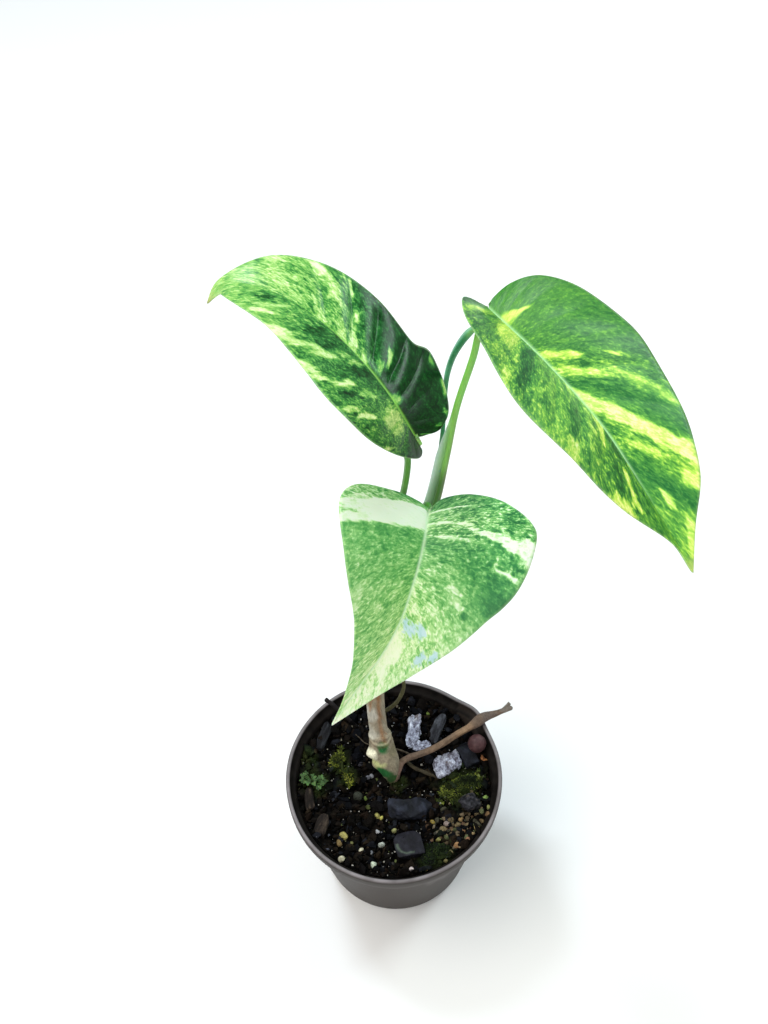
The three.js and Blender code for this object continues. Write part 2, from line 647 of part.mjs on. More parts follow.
function soilBody() {
  const bottom = pot.floor + gap;
  const outer = (z) => potInner(z) - gap;
  const middle = soil.level / 2;
  const profile = [[0, bottom], [outer(bottom), bottom], [outer(middle), middle]];
  for (let ring = soil.rings; ring >= 0; ring--) {
    profile.push([(outer(soil.level) * ring) / soil.rings, soil.level]);
  }
  const geometry = new THREE.LatheGeometry(profile.map(([r, z]) => new THREE.Vector2(r, z)), soil.sides);
  geometry.rotateX(Math.PI / 2);
  const position = geometry.getAttribute("position");
  for (let i = 0; i < position.count; i++) {
    if (position.getZ(i) < soil.level - 1) continue;
    position.setZ(i, soilTop(position.getX(i), position.getY(i)));
  }
  return solidOf(geometry);
}

// The ground plan of what lies or stands in the soil, as circles, so that no grain is cut by its hole.
const standing = [
  ...[...bedded, ...mossy].map(({ at, half }) => [at[0], at[1], Math.max(half[0], half[1])]),
  [12.6, 15.8, 5],
  [-1.4, 4, 7.5],
  [4.4, 10, 2.5],
  [8, 6.6, 2.5],
  [13, 4, 2.5],
  [18, 2.4, 3],
  [-2.6, 27, 2.5],
  [-16, 28.5, 4],
  [-19, 30, 4],
  [...seedling.at, 4],
];

function grainSolids() {
  const random = seeded(11);
  const grains = [];
  for (let tries = 0; grains.length < soil.grains && tries < 4000; tries++) {
    const way = random() * Math.PI * 2;
    const out = 38 * Math.sqrt(random());
    const [x, y] = [out * Math.cos(way), out * Math.sin(way)];
    const size = mix(soil.grainRadius[0], soil.grainRadius[1], random() ** 2);
    const near = ([cx, cy], reach) => Math.hypot(x - cx, y - cy) < size + reach;
    const crowded = standing.some((place) => near(place, place[2] + 0.8));
    const touching = grains.some((grain) => near(grain.at, grain.half[0] + gap));
    if (crowded || touching) continue;
    const half = [size, size * mix(0.7, 1, random()), size * 0.8];
    grains.push({ at: [x, y, soilTop(x, y) + size * 0.15], half, turn: random() * 180 });
  }
  return grains;
}

function grainSolid({ at, half, turn }) {
  const geometry = new THREE.IcosahedronGeometry(1, 0);
  geometry.scale(...half);
  geometry.rotateZ(radians(turn));
  geometry.translate(...at);
  return solidOf(geometry);
}

let ground = soilBody();
for (const grain of grainSolids()) ground = ground.add(grainSolid(grain));
for (const solid of [caneGrown, drySolid(gap), thinSolid(gap), oliveSolid(gap), twigSolid(gap)]) {
  ground = ground.subtract(solid);
}

// The holes go on below the ends of what stands in them.
function shaft(path, radius) {
  const end = path[path[0][2] < path[path.length - 1][2] ? 0 : path.length - 1];
  const hole = new THREE.CylinderGeometry(radius, radius, 2, 12);
  hole.rotateX(Math.PI / 2);
  hole.translate(end[0], end[1], end[2] + 0.4);
  return solidOf(hole);
}
ground = ground
  .subtract(shaft(cane.path, cane.foot + gap))
  .subtract(shaft(dryRoot.path, dryRoot.radius + gap))
  .subtract(shaft(oliveRoot.path, 1.1))
  .subtract(shaft(darkTwig.path, 1.3))
  .subtract(shaft(thinRoot.path, 1.1));

let lying = drySolid(gap).add(thinSolid(gap)).add(caneGrown);
bedded.forEach((piece, i) => {
  const solid = beddedSolid(piece, i + 1).subtract(lying);
  const pocket = beddedSolid(piece, i + 1, gap);
  addPiece(piece.name, solid, piece.finish);
  ground = ground.subtract(pocket);
  lying = lying.add(pocket);
});
mossy.forEach((piece, i) => {
  const solid = mossSolid(piece, i + 21).subtract(lying);
  const pocket = mossSolid(piece, i + 21, gap);
  addPiece(piece.name, solid, "moss");
  ground = ground.subtract(pocket);
  lying = lying.add(pocket);
});

// Seedling: thin stems from one point, each with a heart-shaped leaflet.
function leafletShape(length) {
  const shape = new THREE.Shape();
  shape.moveTo(0, 0);
  shape.quadraticCurveTo(0.75 * length, 0.45 * length, 0.42 * length, length);
  shape.quadraticCurveTo(0.2 * length, 1.12 * length, 0, 0.92 * length);
  shape.quadraticCurveTo(-0.2 * length, 1.12 * length, -0.42 * length, length);
  shape.quadraticCurveTo(-0.75 * length, 0.45 * length, 0, 0);
  return shape;
}

function seedlingSolid() {
  const [x, y] = seedling.at;
  const foot = soil.level - seedling.depth;
  const stem = curveOf([[x, y, foot], [x, y, soil.level + 2]]);
  let solid = tubeAlong(stem, 3, 6, () => seedling.footRadius);
  for (let i = 0; i < seedling.leaflets; i++) {
    const way = i * goldenTurn;
    const out = seedling.reach * (0.35 + 0.65 * ((i * 0.618) % 1));
    const height = soil.level + 1.6 + seedling.height * (0.5 + 0.5 * ((i * 0.38) % 1)) * 0.8;
    const end = [x + out * 0.8 * Math.cos(way), y + out * Math.sin(way), height];
    const bowHeight = (height + soil.level) / 2 + 1.2;
    const bow = [x + out * 0.3 * Math.cos(way), y + out * 0.3 * Math.sin(way), bowHeight];
    const sprig = curveOf([[x, y, soil.level + 0.6], bow, end]);
    solid = solid.add(tubeAlong(sprig, 3, 4, () => seedling.stemRadius));
    const leaflet = new THREE.ExtrudeGeometry(leafletShape(seedling.leafletLength), {
      depth: seedling.leafletThickness,
      bevelEnabled: false,
      curveSegments: 2,
    });
    leaflet.translate(0, -0.5, -seedling.leafletThickness / 2);
    leaflet.rotateX(radians(seedling.leafletRise));
    leaflet.rotateZ(way - Math.PI / 2);
    leaflet.translate(...end);
    solid = solid.add(solidOf(leaflet));
  }
  return solid;
}
addPiece("seedling", seedlingSolid(), "seedling");
const seedlingHole = curveOf([
  [...seedling.at, soil.level - seedling.depth - 0.5],
  [...seedling.at, soil.level + 3],
]);
ground = ground.subtract(tubeAlong(seedlingHole, 2, 8, () => seedling.footRadius + gap + 0.1));

addPiece("soil", ground, "soil");

export default plant;
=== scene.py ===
import math

import bmesh
import bpy
import numpy as np
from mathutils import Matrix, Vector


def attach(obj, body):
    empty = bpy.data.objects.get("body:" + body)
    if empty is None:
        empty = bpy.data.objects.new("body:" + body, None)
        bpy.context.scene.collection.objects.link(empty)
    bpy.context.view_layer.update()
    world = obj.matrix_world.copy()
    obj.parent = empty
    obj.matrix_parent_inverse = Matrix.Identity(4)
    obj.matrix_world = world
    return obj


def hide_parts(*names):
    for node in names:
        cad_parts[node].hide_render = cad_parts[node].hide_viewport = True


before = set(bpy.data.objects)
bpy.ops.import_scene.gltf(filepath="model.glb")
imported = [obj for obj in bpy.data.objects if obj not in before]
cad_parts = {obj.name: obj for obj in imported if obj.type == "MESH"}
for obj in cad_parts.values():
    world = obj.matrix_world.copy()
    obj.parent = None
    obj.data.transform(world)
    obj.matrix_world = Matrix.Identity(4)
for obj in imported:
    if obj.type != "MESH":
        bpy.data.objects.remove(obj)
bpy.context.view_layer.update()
print("frame loaded:", len(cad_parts), "nodes")

toMetres = 0.001


# Small sums

# An sRGB hex colour as linear light: each channel over 12.92 where it is dark, and elsewhere
# (channel + 0.055) / 1.055 to the power 2.4.
def linear(hexText):
    values = np.array([int(hexText[i:i + 2], 16) for i in (1, 3, 5)]) / 255
    return np.where(values <= 0.04045, values / 12.92, ((values + 0.055) / 1.055) ** 2.4)


def unit(vectors):  # each vector over its own length
    return vectors / np.maximum(np.linalg.norm(vectors, axis=-1, keepdims=True), 1e-12)


def mix(first, second, share):  # the first, moved a share of the way to the second
    return first + (second - first) * share


def smooth(value, low, high):  # 0 below low, 1 above high, and s * s * (3 - 2 s) between
    share = np.clip((value - low) / (high - low), 0, 1)
    return share * share * (3 - 2 * share)


def bump(value, middle, spread):  # a bell of height 1: e to the minus squared distance, in spreads
    return np.exp(-(((value - middle) / spread) ** 2))


noiseRule = {
    "primes": [73856093, 19349663, 83492791], "stir": 1274126177, "seedShift": 17.31, "layerTotal": 1.6}


# Value noise from -1 to 1: random heights on a lattice of this cell, blended smoothly between its eight
# corners. A corner's height comes from its three whole numbers times three primes, stirred and cut to 16
# bits.
def noise(points, cell, seed=0):
    place = np.asarray(points, float) / cell + seed * noiseRule["seedShift"]
    low = np.floor(place).astype(np.int64)
    part = place - low
    part = part * part * (3 - 2 * part)
    total = np.zeros(place.shape[:-1])
    for corner in range(8):
        step = np.array([corner & 1, corner >> 1 & 1, corner >> 2 & 1])
        key = (low + step) @ np.array(noiseRule["primes"])
        key = ((key ^ (key >> 13)) * noiseRule["stir"]) & 0xFFFFFFFF
        height = ((key ^ (key >> 16)) % 65536) / 32767.5 - 1
        total += height * np.prod(np.where(step, part, 1 - part), axis=-1)
    return total


# The noise plus finer copies, each with half the cell and half the height of the one before.
def layered(points, cell, seed=0, layers=3):
    copies = (noise(points, cell / 2 ** k, seed + k) / 2 ** k for k in range(layers))
    return sum(copies) / noiseRule["layerTotal"]


# Meshes

def gridFaces(rows, columns, wrapped=False):  # two triangles for each cell of a grid of points
    index = np.arange(rows * columns).reshape(rows, columns)
    if wrapped:
        index = np.concatenate([index, index[:, :1]], axis=1)
    a, b, c, d = index[:-1, :-1], index[:-1, 1:], index[1:, 1:], index[1:, :-1]
    return np.concatenate([np.stack([a, b, c], -1).reshape(-1, 3), np.stack([a, c, d], -1).reshape(-1, 3)])


# Turns a closed shell whose volume, the sum of a · (b × c) over its triangles, comes out negative.
def outward(points, faces):
    a, b, c = (points[faces[:, k]] for k in range(3))
    return faces[:, ::-1] if np.sum(a * np.cross(b, c)) < 0 else faces


def joined(*shells):  # several (points, faces, tint) as one
    offsets = np.cumsum([0] + [len(points) for points, _, _ in shells])
    points = np.concatenate([shell[0] for shell in shells])
    faces = np.concatenate([shell[1] + offset for shell, offset in zip(shells, offsets)])
    return points, faces, np.concatenate([shell[2] for shell in shells])


weldStep = 0.002  # points nearer to each other than this, in mm, become one


# One piece: its points (mm), triangles, numbers and colours by point, and what it stands for. The colours and
# numbers go on the face corners, so that points that are welded keep their own.
def makePiece(name, points, faces, material, nodes=(), tint=None, numbers=None, uv=None, even=True):
    rounded = np.round(points / weldStep).astype(np.int64)
    kept, where = np.unique(rounded, axis=0, return_index=True, return_inverse=True)[1:]
    welded = where.ravel()[faces]
    a, b, c = welded.T
    whole = (a != b) & (b != c) & (a != c)
    welded, corners = welded[whole], faces[whole].ravel()
    mesh = bpy.data.meshes.new(name)
    mesh.vertices.add(len(kept))
    mesh.vertices.foreach_set("co", (points[kept] * toMetres).astype(np.float32).ravel())
    mesh.loops.add(welded.size)
    mesh.loops.foreach_set("vertex_index", welded.astype(np.int32).ravel())
    mesh.polygons.add(len(welded))
    mesh.polygons.foreach_set("loop_start", np.arange(0, welded.size, 3, dtype=np.int32))
    mesh.polygons.foreach_set("use_smooth", np.full(len(welded), even))
    mesh.update(calc_edges=True)
    if tint is not None:
        colours = np.concatenate([tint, np.ones((len(tint), 1))], axis=1)[corners]
        layer = mesh.color_attributes.new("tint", "FLOAT_COLOR", "CORNER")
        layer.data.foreach_set("color", colours.astype(np.float32).ravel())
    for key, values in (numbers or {}).items():
        layer = mesh.attributes.new(key, "FLOAT", "CORNER")
        layer.data.foreach_set("value", values[corners].astype(np.float32))
    if uv is not None:
        layer = mesh.uv_layers.new(name="veins")
        layer.data.foreach_set("uv", uv[corners].astype(np.float32).ravel())
    mesh.materials.append(material)
    piece = bpy.data.objects.new(name, mesh)
    bpy.context.scene.collection.objects.link(piece)
    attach(piece, "root")
    if nodes:
        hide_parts(*nodes)
    print("made", name, len(welded), "triangles")
    return piece


spanSteps = 120  # how finely each span of a path is measured


# A centripetal Catmull-Rom line through the points, at these shares of its length: each span is the cubic
# that leaves and reaches its ends along the neighbours' slopes, with the square root of each gap for its
# time.
def curveAt(path, along):
    path = np.asarray(path, float)
    full = np.vstack([2 * path[0] - path[1], path, 2 * path[-1] - path[-2]])
    gaps = np.linalg.norm(np.diff(full, axis=0), axis=1) ** 0.5
    pieces = []
    for i in range(len(path) - 1):  # one span of the line at a time
        a, b, c, d = full[i:i + 4]
        before, own, after = gaps[i:i + 3]
        leave = ((b - a) / before - (c - a) / (before + own) + (c - b) / own) * own
        reach = ((c - b) / own - (d - b) / (own + after) + (d - c) / after) * own
        t = np.linspace(0, 1, spanSteps, endpoint=i == len(path) - 2)[:, None]
        square, cube = -3 * b + 3 * c - 2 * leave - reach, 2 * b - 2 * c + leave + reach
        pieces.append(b + leave * t + square * t ** 2 + cube * t ** 3)
    line = np.concatenate(pieces)
    run = np.concatenate([[0], np.cumsum(np.linalg.norm(np.diff(line, axis=0), axis=1))])
    wanted = np.asarray(along) * run[-1]
    return np.stack([np.interp(wanted, run, line[:, k]) for k in range(3)], -1), run[-1]


tubeRule = {
    "slopeStep": 0.002,  # how far apart, as a share of the length, the two points of a slope are
    "capRings": np.array([0, .08, .3, .6]),  # extra rings in a rounded end, as shares of the cap
    "capLeast": 0.02,  # the square of the first ring's share of the radius
}


# A closed tube: a ring carried along the path, whose first direction starts towards +X and turns as little as
# it can. Each point is centre + radius * (first * cos(angle) + second * sin(angle)), where reach(along,
# angle, z) gives the radius. The ends are rounded as a quarter circle over the cap, which is a share of the
# length.
def tube(path, rings, sides, reach, cap=0.016):
    caps = tubeRule["capRings"] * cap
    along = np.unique(np.concatenate([np.linspace(0, 1, rings), caps, 1 - caps]))
    centre = curveAt(path, along)[0]
    step = tubeRule["slopeStep"]
    before, after = (curveAt(path, np.clip(along + way, 0, 1))[0] for way in (-step, step))
    tangent = unit(after - before)
    first = np.zeros_like(centre)
    way = np.array([1.0, 0, 0])
    for i in range(len(along)):  # one ring at a time
        way = unit(way - (way @ tangent[i]) * tangent[i])
        first[i] = way
    second = np.cross(first, tangent)
    turn = np.arange(sides) / sides * 2 * np.pi
    wide, turn = np.meshgrid(along, turn, indexing="ij")
    angle = np.where(turn > np.pi, turn - 2 * np.pi, turn)
    radius = reach(wide, angle, centre[:, None, 2])
    near = np.minimum(along, 1 - along)[:, None] / cap
    radius = radius * np.sqrt(np.clip(1 - (1 - np.clip(near, 0, 1)) ** 2, tubeRule["capLeast"], 1))
    ring = first[:, None] * np.cos(turn)[..., None] + second[:, None] * np.sin(turn)[..., None]
    points = (centre[:, None] + ring * radius[..., None]).reshape(-1, 3)
    last = len(points)
    points = np.vstack([points, centre[0], centre[-1]])
    loop = np.arange(sides)
    tail = last - sides
    capA = np.stack([np.full(sides, last), np.roll(loop, -1), loop], -1)
    capB = np.stack([np.full(sides, last + 1), tail + loop, tail + np.roll(loop, -1)], -1)
    faces = outward(points, np.concatenate([gridFaces(len(along), sides, wrapped=True), capA, capB]))
    return points, faces, np.append(wide.ravel(), [0, 1]), np.append(angle.ravel(), [0, 0])


def ball(level):  # the points and triangles of a ball of radius 1
    shape = bmesh.new()
    bmesh.ops.create_icosphere(shape, subdivisions=level, radius=1)
    points = np.array([v.co[:] for v in shape.verts])
    faces = np.array([[v.index for v in f.verts] for f in shape.faces])
    shape.free()
    return points, outward(points, faces)


def turned(points, turn, tilt=0.0):  # tilted about X, then turned about Z, in degrees
    a, b = math.radians(tilt), math.radians(turn)
    tip = np.array([[1, 0, 0], [0, math.cos(a), -math.sin(a)], [0, math.sin(a), math.cos(a)]])
    spin = np.array([[math.cos(b), -math.sin(b), 0], [math.sin(b), math.cos(b), 0], [0, 0, 1]])
    return points @ (spin @ tip).T


scatterRule = {"lean": 0.25, "dentShift": 90, "dentCell": 0.9}


# Copies of one small shape: each point is pushed out by 1 + dents * noise, with a stretch of noise for each
# copy, then stretched by the copy's sizes, tipped about X, turned about Z and moved to its centre.
def scattered(template, centres, sizes, draw, dents=0.25, upright=False):
    points, faces = template
    rule = scatterRule
    count = len(centres)
    spin = draw.uniform(0, 2 * np.pi, count)
    lean = draw.uniform(-rule["lean"], rule["lean"], count) if upright else draw.uniform(0, np.pi, count)
    cosS, sinS, cosL, sinL, zero = np.cos(spin), np.sin(spin), np.cos(lean), np.sin(lean), np.zeros(count)
    aboutZ = np.stack([cosS, -sinS, zero, sinS, cosS, zero, zero, zero, zero + 1], -1).reshape(-1, 3, 3)
    aboutX = np.stack([zero + 1, zero, zero, zero, cosL, -sinL, zero, sinL, cosL], -1).reshape(-1, 3, 3)
    shift = draw.uniform(0, rule["dentShift"], (count, 1, 3))
    own = points[None] * (1 + dents * noise(points[None] + shift, rule["dentCell"]))[..., None]
    own = own * sizes[:, None]
    placed = np.einsum("nij,nmj->nmi", aboutZ @ aboutX, own) + centres[:, None]
    offsets = np.arange(count)[:, None, None] * len(points)
    return placed.reshape(-1, 3), (faces[None] + offsets).reshape(-1, 3)


def laid(tint, shade, share):  # a hex colour laid over the tint by a share for each point
    return mix(tint, linear(shade), share[:, None])


def plain(count, shade):  # the same colour for each point
    return np.tile(linear(shade), (count, 1))


# Two of the colours mixed for each point: level runs from 0 at the first colour to 1 a colour.
def between(shades, level):
    low = np.minimum(level.astype(int), len(shades) - 2)
    return mix(shades[low], shades[low + 1], (level - low)[:, None])


dabRule = {"wave": 0.3, "waveCell": 0.6, "fade": (0.5, 1.1)}


# A colour for each point: the base, and soft round dabs on it (x, y, z, reach, colour, strength). A dab fades
# with the distance over its reach, to which noise adds a wavy edge.
def painted(points, base, dabs=(), seed=1):
    tint = plain(len(points), base)
    for x, y, z, reach, shade, strength in dabs:
        wave = dabRule["wave"] * noise(points, reach * dabRule["waveCell"], seed)
        distance = np.linalg.norm(points - [x, y, z], axis=1) / reach + wave
        tint = laid(tint, shade, strength * (1 - smooth(distance, *dabRule["fade"])))
    return tint


# Materials

# One node with its settings; an input is a number, a colour, a socket, or a node, whose first used output is
# taken.
def addNode(tree, kind, settings=None, inputs=None):
    node = tree.nodes.new("ShaderNode" + kind)
    for key, value in (settings or {}).items():
        setattr(node, key, value)
    for key, value in (inputs or {}).items():
        if isinstance(value, bpy.types.Node):
            value = next(output for output in value.outputs if output.enabled)
        if isinstance(value, bpy.types.NodeSocket):
            tree.links.new(value, node.inputs[key])
        else:
            node.inputs[key].default_value = value
    return node


def newMaterial(name, roughness, ior, extra=None):  # the plain shader, with these values on its own sockets
    material = bpy.data.materials.new(name)
    material.use_nodes = True
    shader = material.node_tree.nodes["Principled BSDF"]
    shader.inputs["Roughness"].default_value = roughness
    shader.inputs["IOR"].default_value = ior
    for key, value in (extra or {}).items():
        shader.inputs[key].default_value = value
    return material, material.node_tree, shader


def rgba(hexText):  # linear light, opaque
    return (*linear(hexText), 1)


def fillRamp(node, stops):  # the ramp's stops as (place, hex)
    ramp = node.color_ramp
    while len(ramp.elements) > 1:
        ramp.elements.remove(ramp.elements[-1])
    ramp.elements[0].position, ramp.elements[0].color = stops[0][0], rgba(stops[0][1])
    for place, shade in stops[1:]:
        ramp.elements.new(place).color = rgba(shade)


grainRule = {"detail": 4.0, "roughness": 0.6, "swing": (0.75, 1.25), "ior": 1.45, "shine": 0.2}


# A matt natural surface: the piece's own tint times a light that follows a coarse noise plus a fine one,
# which are also its low relief. cell and fine are the sizes of the mottles and of the grain in mm, stretch is
# how much longer they are upwards, and range is the darkest and the lightest.
def naturalMaterial(name, look):
    rule = grainRule
    material, tree, shader = newMaterial(name, look["roughness"], look.get("ior", rule["ior"]), {
        "Specular IOR Level": look.get("shine", rule["shine"]), **look.get("extra", {})})
    place = addNode(tree, "TexCoord").outputs["Object"]
    maps = []
    for cell in (look["cell"], look["fine"]):
        scale = 1 / toMetres / cell
        spot = addNode(tree, "Mapping", inputs={
            "Vector": place, "Scale": [scale, scale, scale / look.get("stretch", 1)]})
        maps.append(addNode(tree, "TexNoise", inputs={
            "Vector": spot, "Scale": 1.0, "Detail": rule["detail"], "Roughness": rule["roughness"]}))
    both = addNode(tree, "Math", {"operation": "ADD"}, {0: maps[0], 1: maps[1]})
    light = addNode(tree, "MapRange", inputs={
        "Value": both, "From Min": rule["swing"][0], "From Max": rule["swing"][1],
        "To Min": look["range"][0], "To Max": look["range"][1]})
    tint = addNode(tree, "Attribute", {"attribute_name": "tint"}).outputs["Color"]
    shade = addNode(tree, "VectorMath", {"operation": "SCALE"}, {0: tint, "Scale": light})
    tree.links.new(shade.outputs[0], shader.inputs["Base Color"])
    relief = addNode(tree, "Bump", inputs={
        "Height": both, "Strength": 1.0, "Distance": look["relief"] * toMetres})
    tree.links.new(relief.outputs[0], shader.inputs["Normal"])
    return material


# Camera: the photo was taken from the front, 54 degrees above the level, and turned 2 degrees.
cameraLook = {
    "at": (0, -0.202, 0.542), "down": 54.3, "roll": -2.09, "lens": 42.19, "sensor": 36, "nearest": 0.01}
cameraData = bpy.data.cameras.new("camera")
cameraData.lens = cameraLook["lens"]
cameraData.sensor_width = cameraLook["sensor"]
cameraData.clip_start = cameraLook["nearest"]
camera = bpy.data.objects.new("camera", cameraData)
camera.location = cameraLook["at"]
bpy.context.scene.collection.objects.link(camera)
bpy.context.scene.camera = camera
lookDown, lookRoll = math.radians(cameraLook["down"]), math.radians(cameraLook["roll"])
forward = np.array([0, math.cos(lookDown), -math.sin(lookDown)])
level, rise = np.array([1.0, 0, 0]), np.array([0, math.sin(lookDown), math.cos(lookDown)])
rightward = math.cos(lookRoll) * level + math.sin(lookRoll) * rise
upward = -math.sin(lookRoll) * level + math.cos(lookRoll) * rise
turnMatrix = Matrix([[rightward[k], upward[k], -forward[k]] for k in range(3)])
camera.rotation_mode = "QUATERNION"
camera.rotation_quaternion = turnMatrix.to_quaternion()
print("camera placed")


# Leaf blades: each half is a fan of side veins. share goes round the margin from the base to the tip, and out
# goes along a vein from the midrib to the margin. tones, warm, busy and quilt are tables by share. tones: how
# pale each half is, as (share, at the midrib, at the margin); warm: how yellow it is; busy: how strongly it
# is mottled; quilt: how far it swells between the side veins, in mm, as (share, swell). streaks: (how pale,
# softness, [(out, share, half width in share), ...]), long marks that run along the veins. The pale blue
# patches in the minus half are painted reflections of the sky on the wax, as (share, out, reach in share,
# reach in out). pattern: the width, length (mm), strength and detail of each layer of mottling.
leftLeaf = {
    "order": 1,
    "midrib": [[10.5, 37.3, 249.3], [3.3, 48.2, 256.1], [-5.3, 57.9, 262.8], [-15.3, 66.7, 268.8],
        [-26.6, 74.8, 272.9], [-39.2, 81.2, 274.5], [-49, 83.2, 272.5], [-55.1, 79.5, 268.1]],
    "face": [[0.68, 0.12, 0.72], [-0.24, 0.1, 0.96]], "fold": [12, 18],
    "plus": [[-0.6, 0.9], [-1.3, 5.1], [-1.3, 14], [4.2, 22.9], [19.6, 29.2], [25.8, 22.8], [40.4, 22.1],
        [54.5, 20.2], [69.1, 14.2], [81, 4.8], [90.8, 0]],
    "minus": [[-0.6, -0.9], [-4.8, -0.6], [-7.3, -9.2], [-3.5, -21.5], [5.2, -30.7], [21, -32.2],
        [36.2, -27.3], [51.1, -21.7], [65.3, -17.2], [76.3, -12], [90.8, 0]],
    "petiole": [[-4.6, 29.5, 131], [-3.9, 34.6, 151], [-0.5, 39.2, 176], [4.1, 41, 199.5], [7.1, 40.6, 217.5],
        [8.3, 38.4, 235.5]],
    "radius": [1.8, 1.1], "wing": 0.7, "wingTo": 0.5, "enter": -1.5,
    "quilt": {
        "plus": [(0, .08), (.4, .15), (.52, 1.0), (.72, 1.0), (.8, .5), (1, .1)],
        "minus": [(0, .25), (.5, .3), (1, .15)],
    },
    "pattern": {
        "cloud": (2.6, 3.0, 0.85, 2.0), "streak": (1.3, 1.7, 0.75, 3.0), "speck": (0.8, 0.8, 1.5, 2.0),
    },
    "busy": {
        "plus": [(0, .4, .5), (.45, .5, .4), (.6, .6, .5), (.7, .9, .8), (.8, .9, .8), (.88, .9, .8),
            (1, .6, .6)],
        "minus": [(0, .3, .3), (.3, .9, .8), (.45, .9, .8), (.6, .7, .7), (.8, .8, .7), (.9, .8, .7),
            (1, .6, .6)],
    },
    "ramp": [(0, "#04240a"), (0.14, "#0c4016"), (0.3, "#276430"), (0.42, "#458a42"), (0.55, "#74ae55"),
        (0.68, "#a2c974"), (0.85, "#cbe2a2"), (1, "#e2f0c6")],
    "rib": "#8ac854", "ribTo": 0.62, "ribWidth": (0.6, 0.35), "tip": "#a9a866", "gloss": 0.16,
    "warm": {
        "plus": [(0, .8, .6), (.4, .6, .3), (.6, .2, .1), (1, .1, .15)],
        "minus": [(0, .9, .8), (.4, .9, .6), (.5, .5, .4), (.6, .2, .3), (1, .15, .2)],
    },
    "tones": {
        # Near the tip the plus half's tones are raised partly for its own pale marks and partly as a painted
        # sheen.
        "plus": [(0, 0, .04), (.2, 0, .1), (.36, .02, .12), (.5, .08, .1), (.56, .16, .12), (.62, .26, .16),
            (.68, .44, .3), (.76, .46, .48), (.85, .54, .56), (1, .64, .64)],
        "minus": [(0, 0, 0), (.24, .02, .05), (.29, .32, .32), (.36, .46, .32), (.42, .46, .32),
            (.48, .32, .38), (.6, .2, .38), (.66, .3, .42), (.72, .2, .5), (.8, .4, .55), (.88, .42, .54),
            (1, .62, .62)],
    },
    "streaks": {
        "plus": [(.48, .6, [(.4, .13, .02), (.9, .14, .015)]),
            (.66, .5, [(.92, .345, .014), (1, .345, .014)]), (.52, .6, [(.86, .3, .012), (.95, .28, .012)]),
            (.46, .6, [(.7, .24, .012), (.9, .225, .012)]), (.55, .5, [(.88, .4, .01), (.94, .4, .01)]),
            (.56, .6, [(.02, .47, .03), (.12, .46, .02)]), (.7, .5, [(.3, .562, .008), (.52, .558, .008)]),
            (.58, .6, [(.1, .585, .012), (.26, .585, .01)]), (.78, .5, [(0, .645, .012), (.09, .645, .008)]),
            (.76, .5, [(0, .69, .013), (.34, .685, .01)]), (.76, .5, [(.45, .675, .008), (.56, .675, .008)]),
            (.78, .5, [(.78, .675, .009), (.95, .682, .009)]),
            (.88, .5, [(.8, .735, .016), (.97, .748, .016)]), (.76, .6, [(.5, .73, .012), (.75, .728, .014)]),
            (.66, .6, [(0, .725, .014), (.22, .735, .012)]), (.8, .6, [(.88, .82, .012), (.97, .82, .012)]),
            (.7, .6, [(.3, .85, .016), (.62, .85, .016)]), (.72, .6, [(.02, .785, .008), (.3, .785, .006)])],
        "minus": [(.78, .5, [(.84, .318, .008), (.97, .33, .01)]),
            (.74, .9, [(.1, .41, .05), (.3, .41, .035), (.5, .395, .028)]),
            (.66, .9, [(.2, .35, .02), (.5, .345, .016)]), (.92, .4, [(.6, .442, .009), (.82, .445, .006)]),
            (.66, .6, [(.74, .474, .012), (.92, .476, .01)]), (.6, .7, [(.34, .52, .018), (.5, .52, .014)]),
            (.9, .5, [(.54, .56, .011), (.76, .558, .008)]),
            (.82, .5, [(.84, .578, .008), (.96, .582, .008)]),
            (.84, .5, [(.88, .608, .012), (1, .615, .018)]), (.66, .6, [(.14, .636, .009), (.3, .634, .009)]),
            (.64, .6, [(.2, .66, .009), (.36, .66, .009)]), (.8, .5, [(.48, .652, .01), (.7, .657, .008)]),
            (.74, .6, [(.55, .675, .008), (.96, .685, .014)]), (.9, .5, [(.82, .715, .02), (1, .722, .026)]),
            # The first streak on the next line, at share 0.80 near the margin, is a painted highlight: a pale
            # patch where light shines on the blade.
            (.86, .6, [(.7, .80, .014), (.92, .812, .012)]), (.66, .6, [(.3, .83, .01), (.7, .835, .012)]),
            (.18, .6, [(.2, .745, .024), (.42, .735, .02), (.56, .73, .012)]),
            (.2, .6, [(.28, .69, .016), (.56, .685, .012)]), (.16, .6, [(.2, .87, .012), (.5, .868, .014)]),
            (.12, .6, [(.1, .6, .016), (.32, .6, .012)]), (.16, .6, [(.55, .52, .012), (.8, .525, .014)])],
    },
}
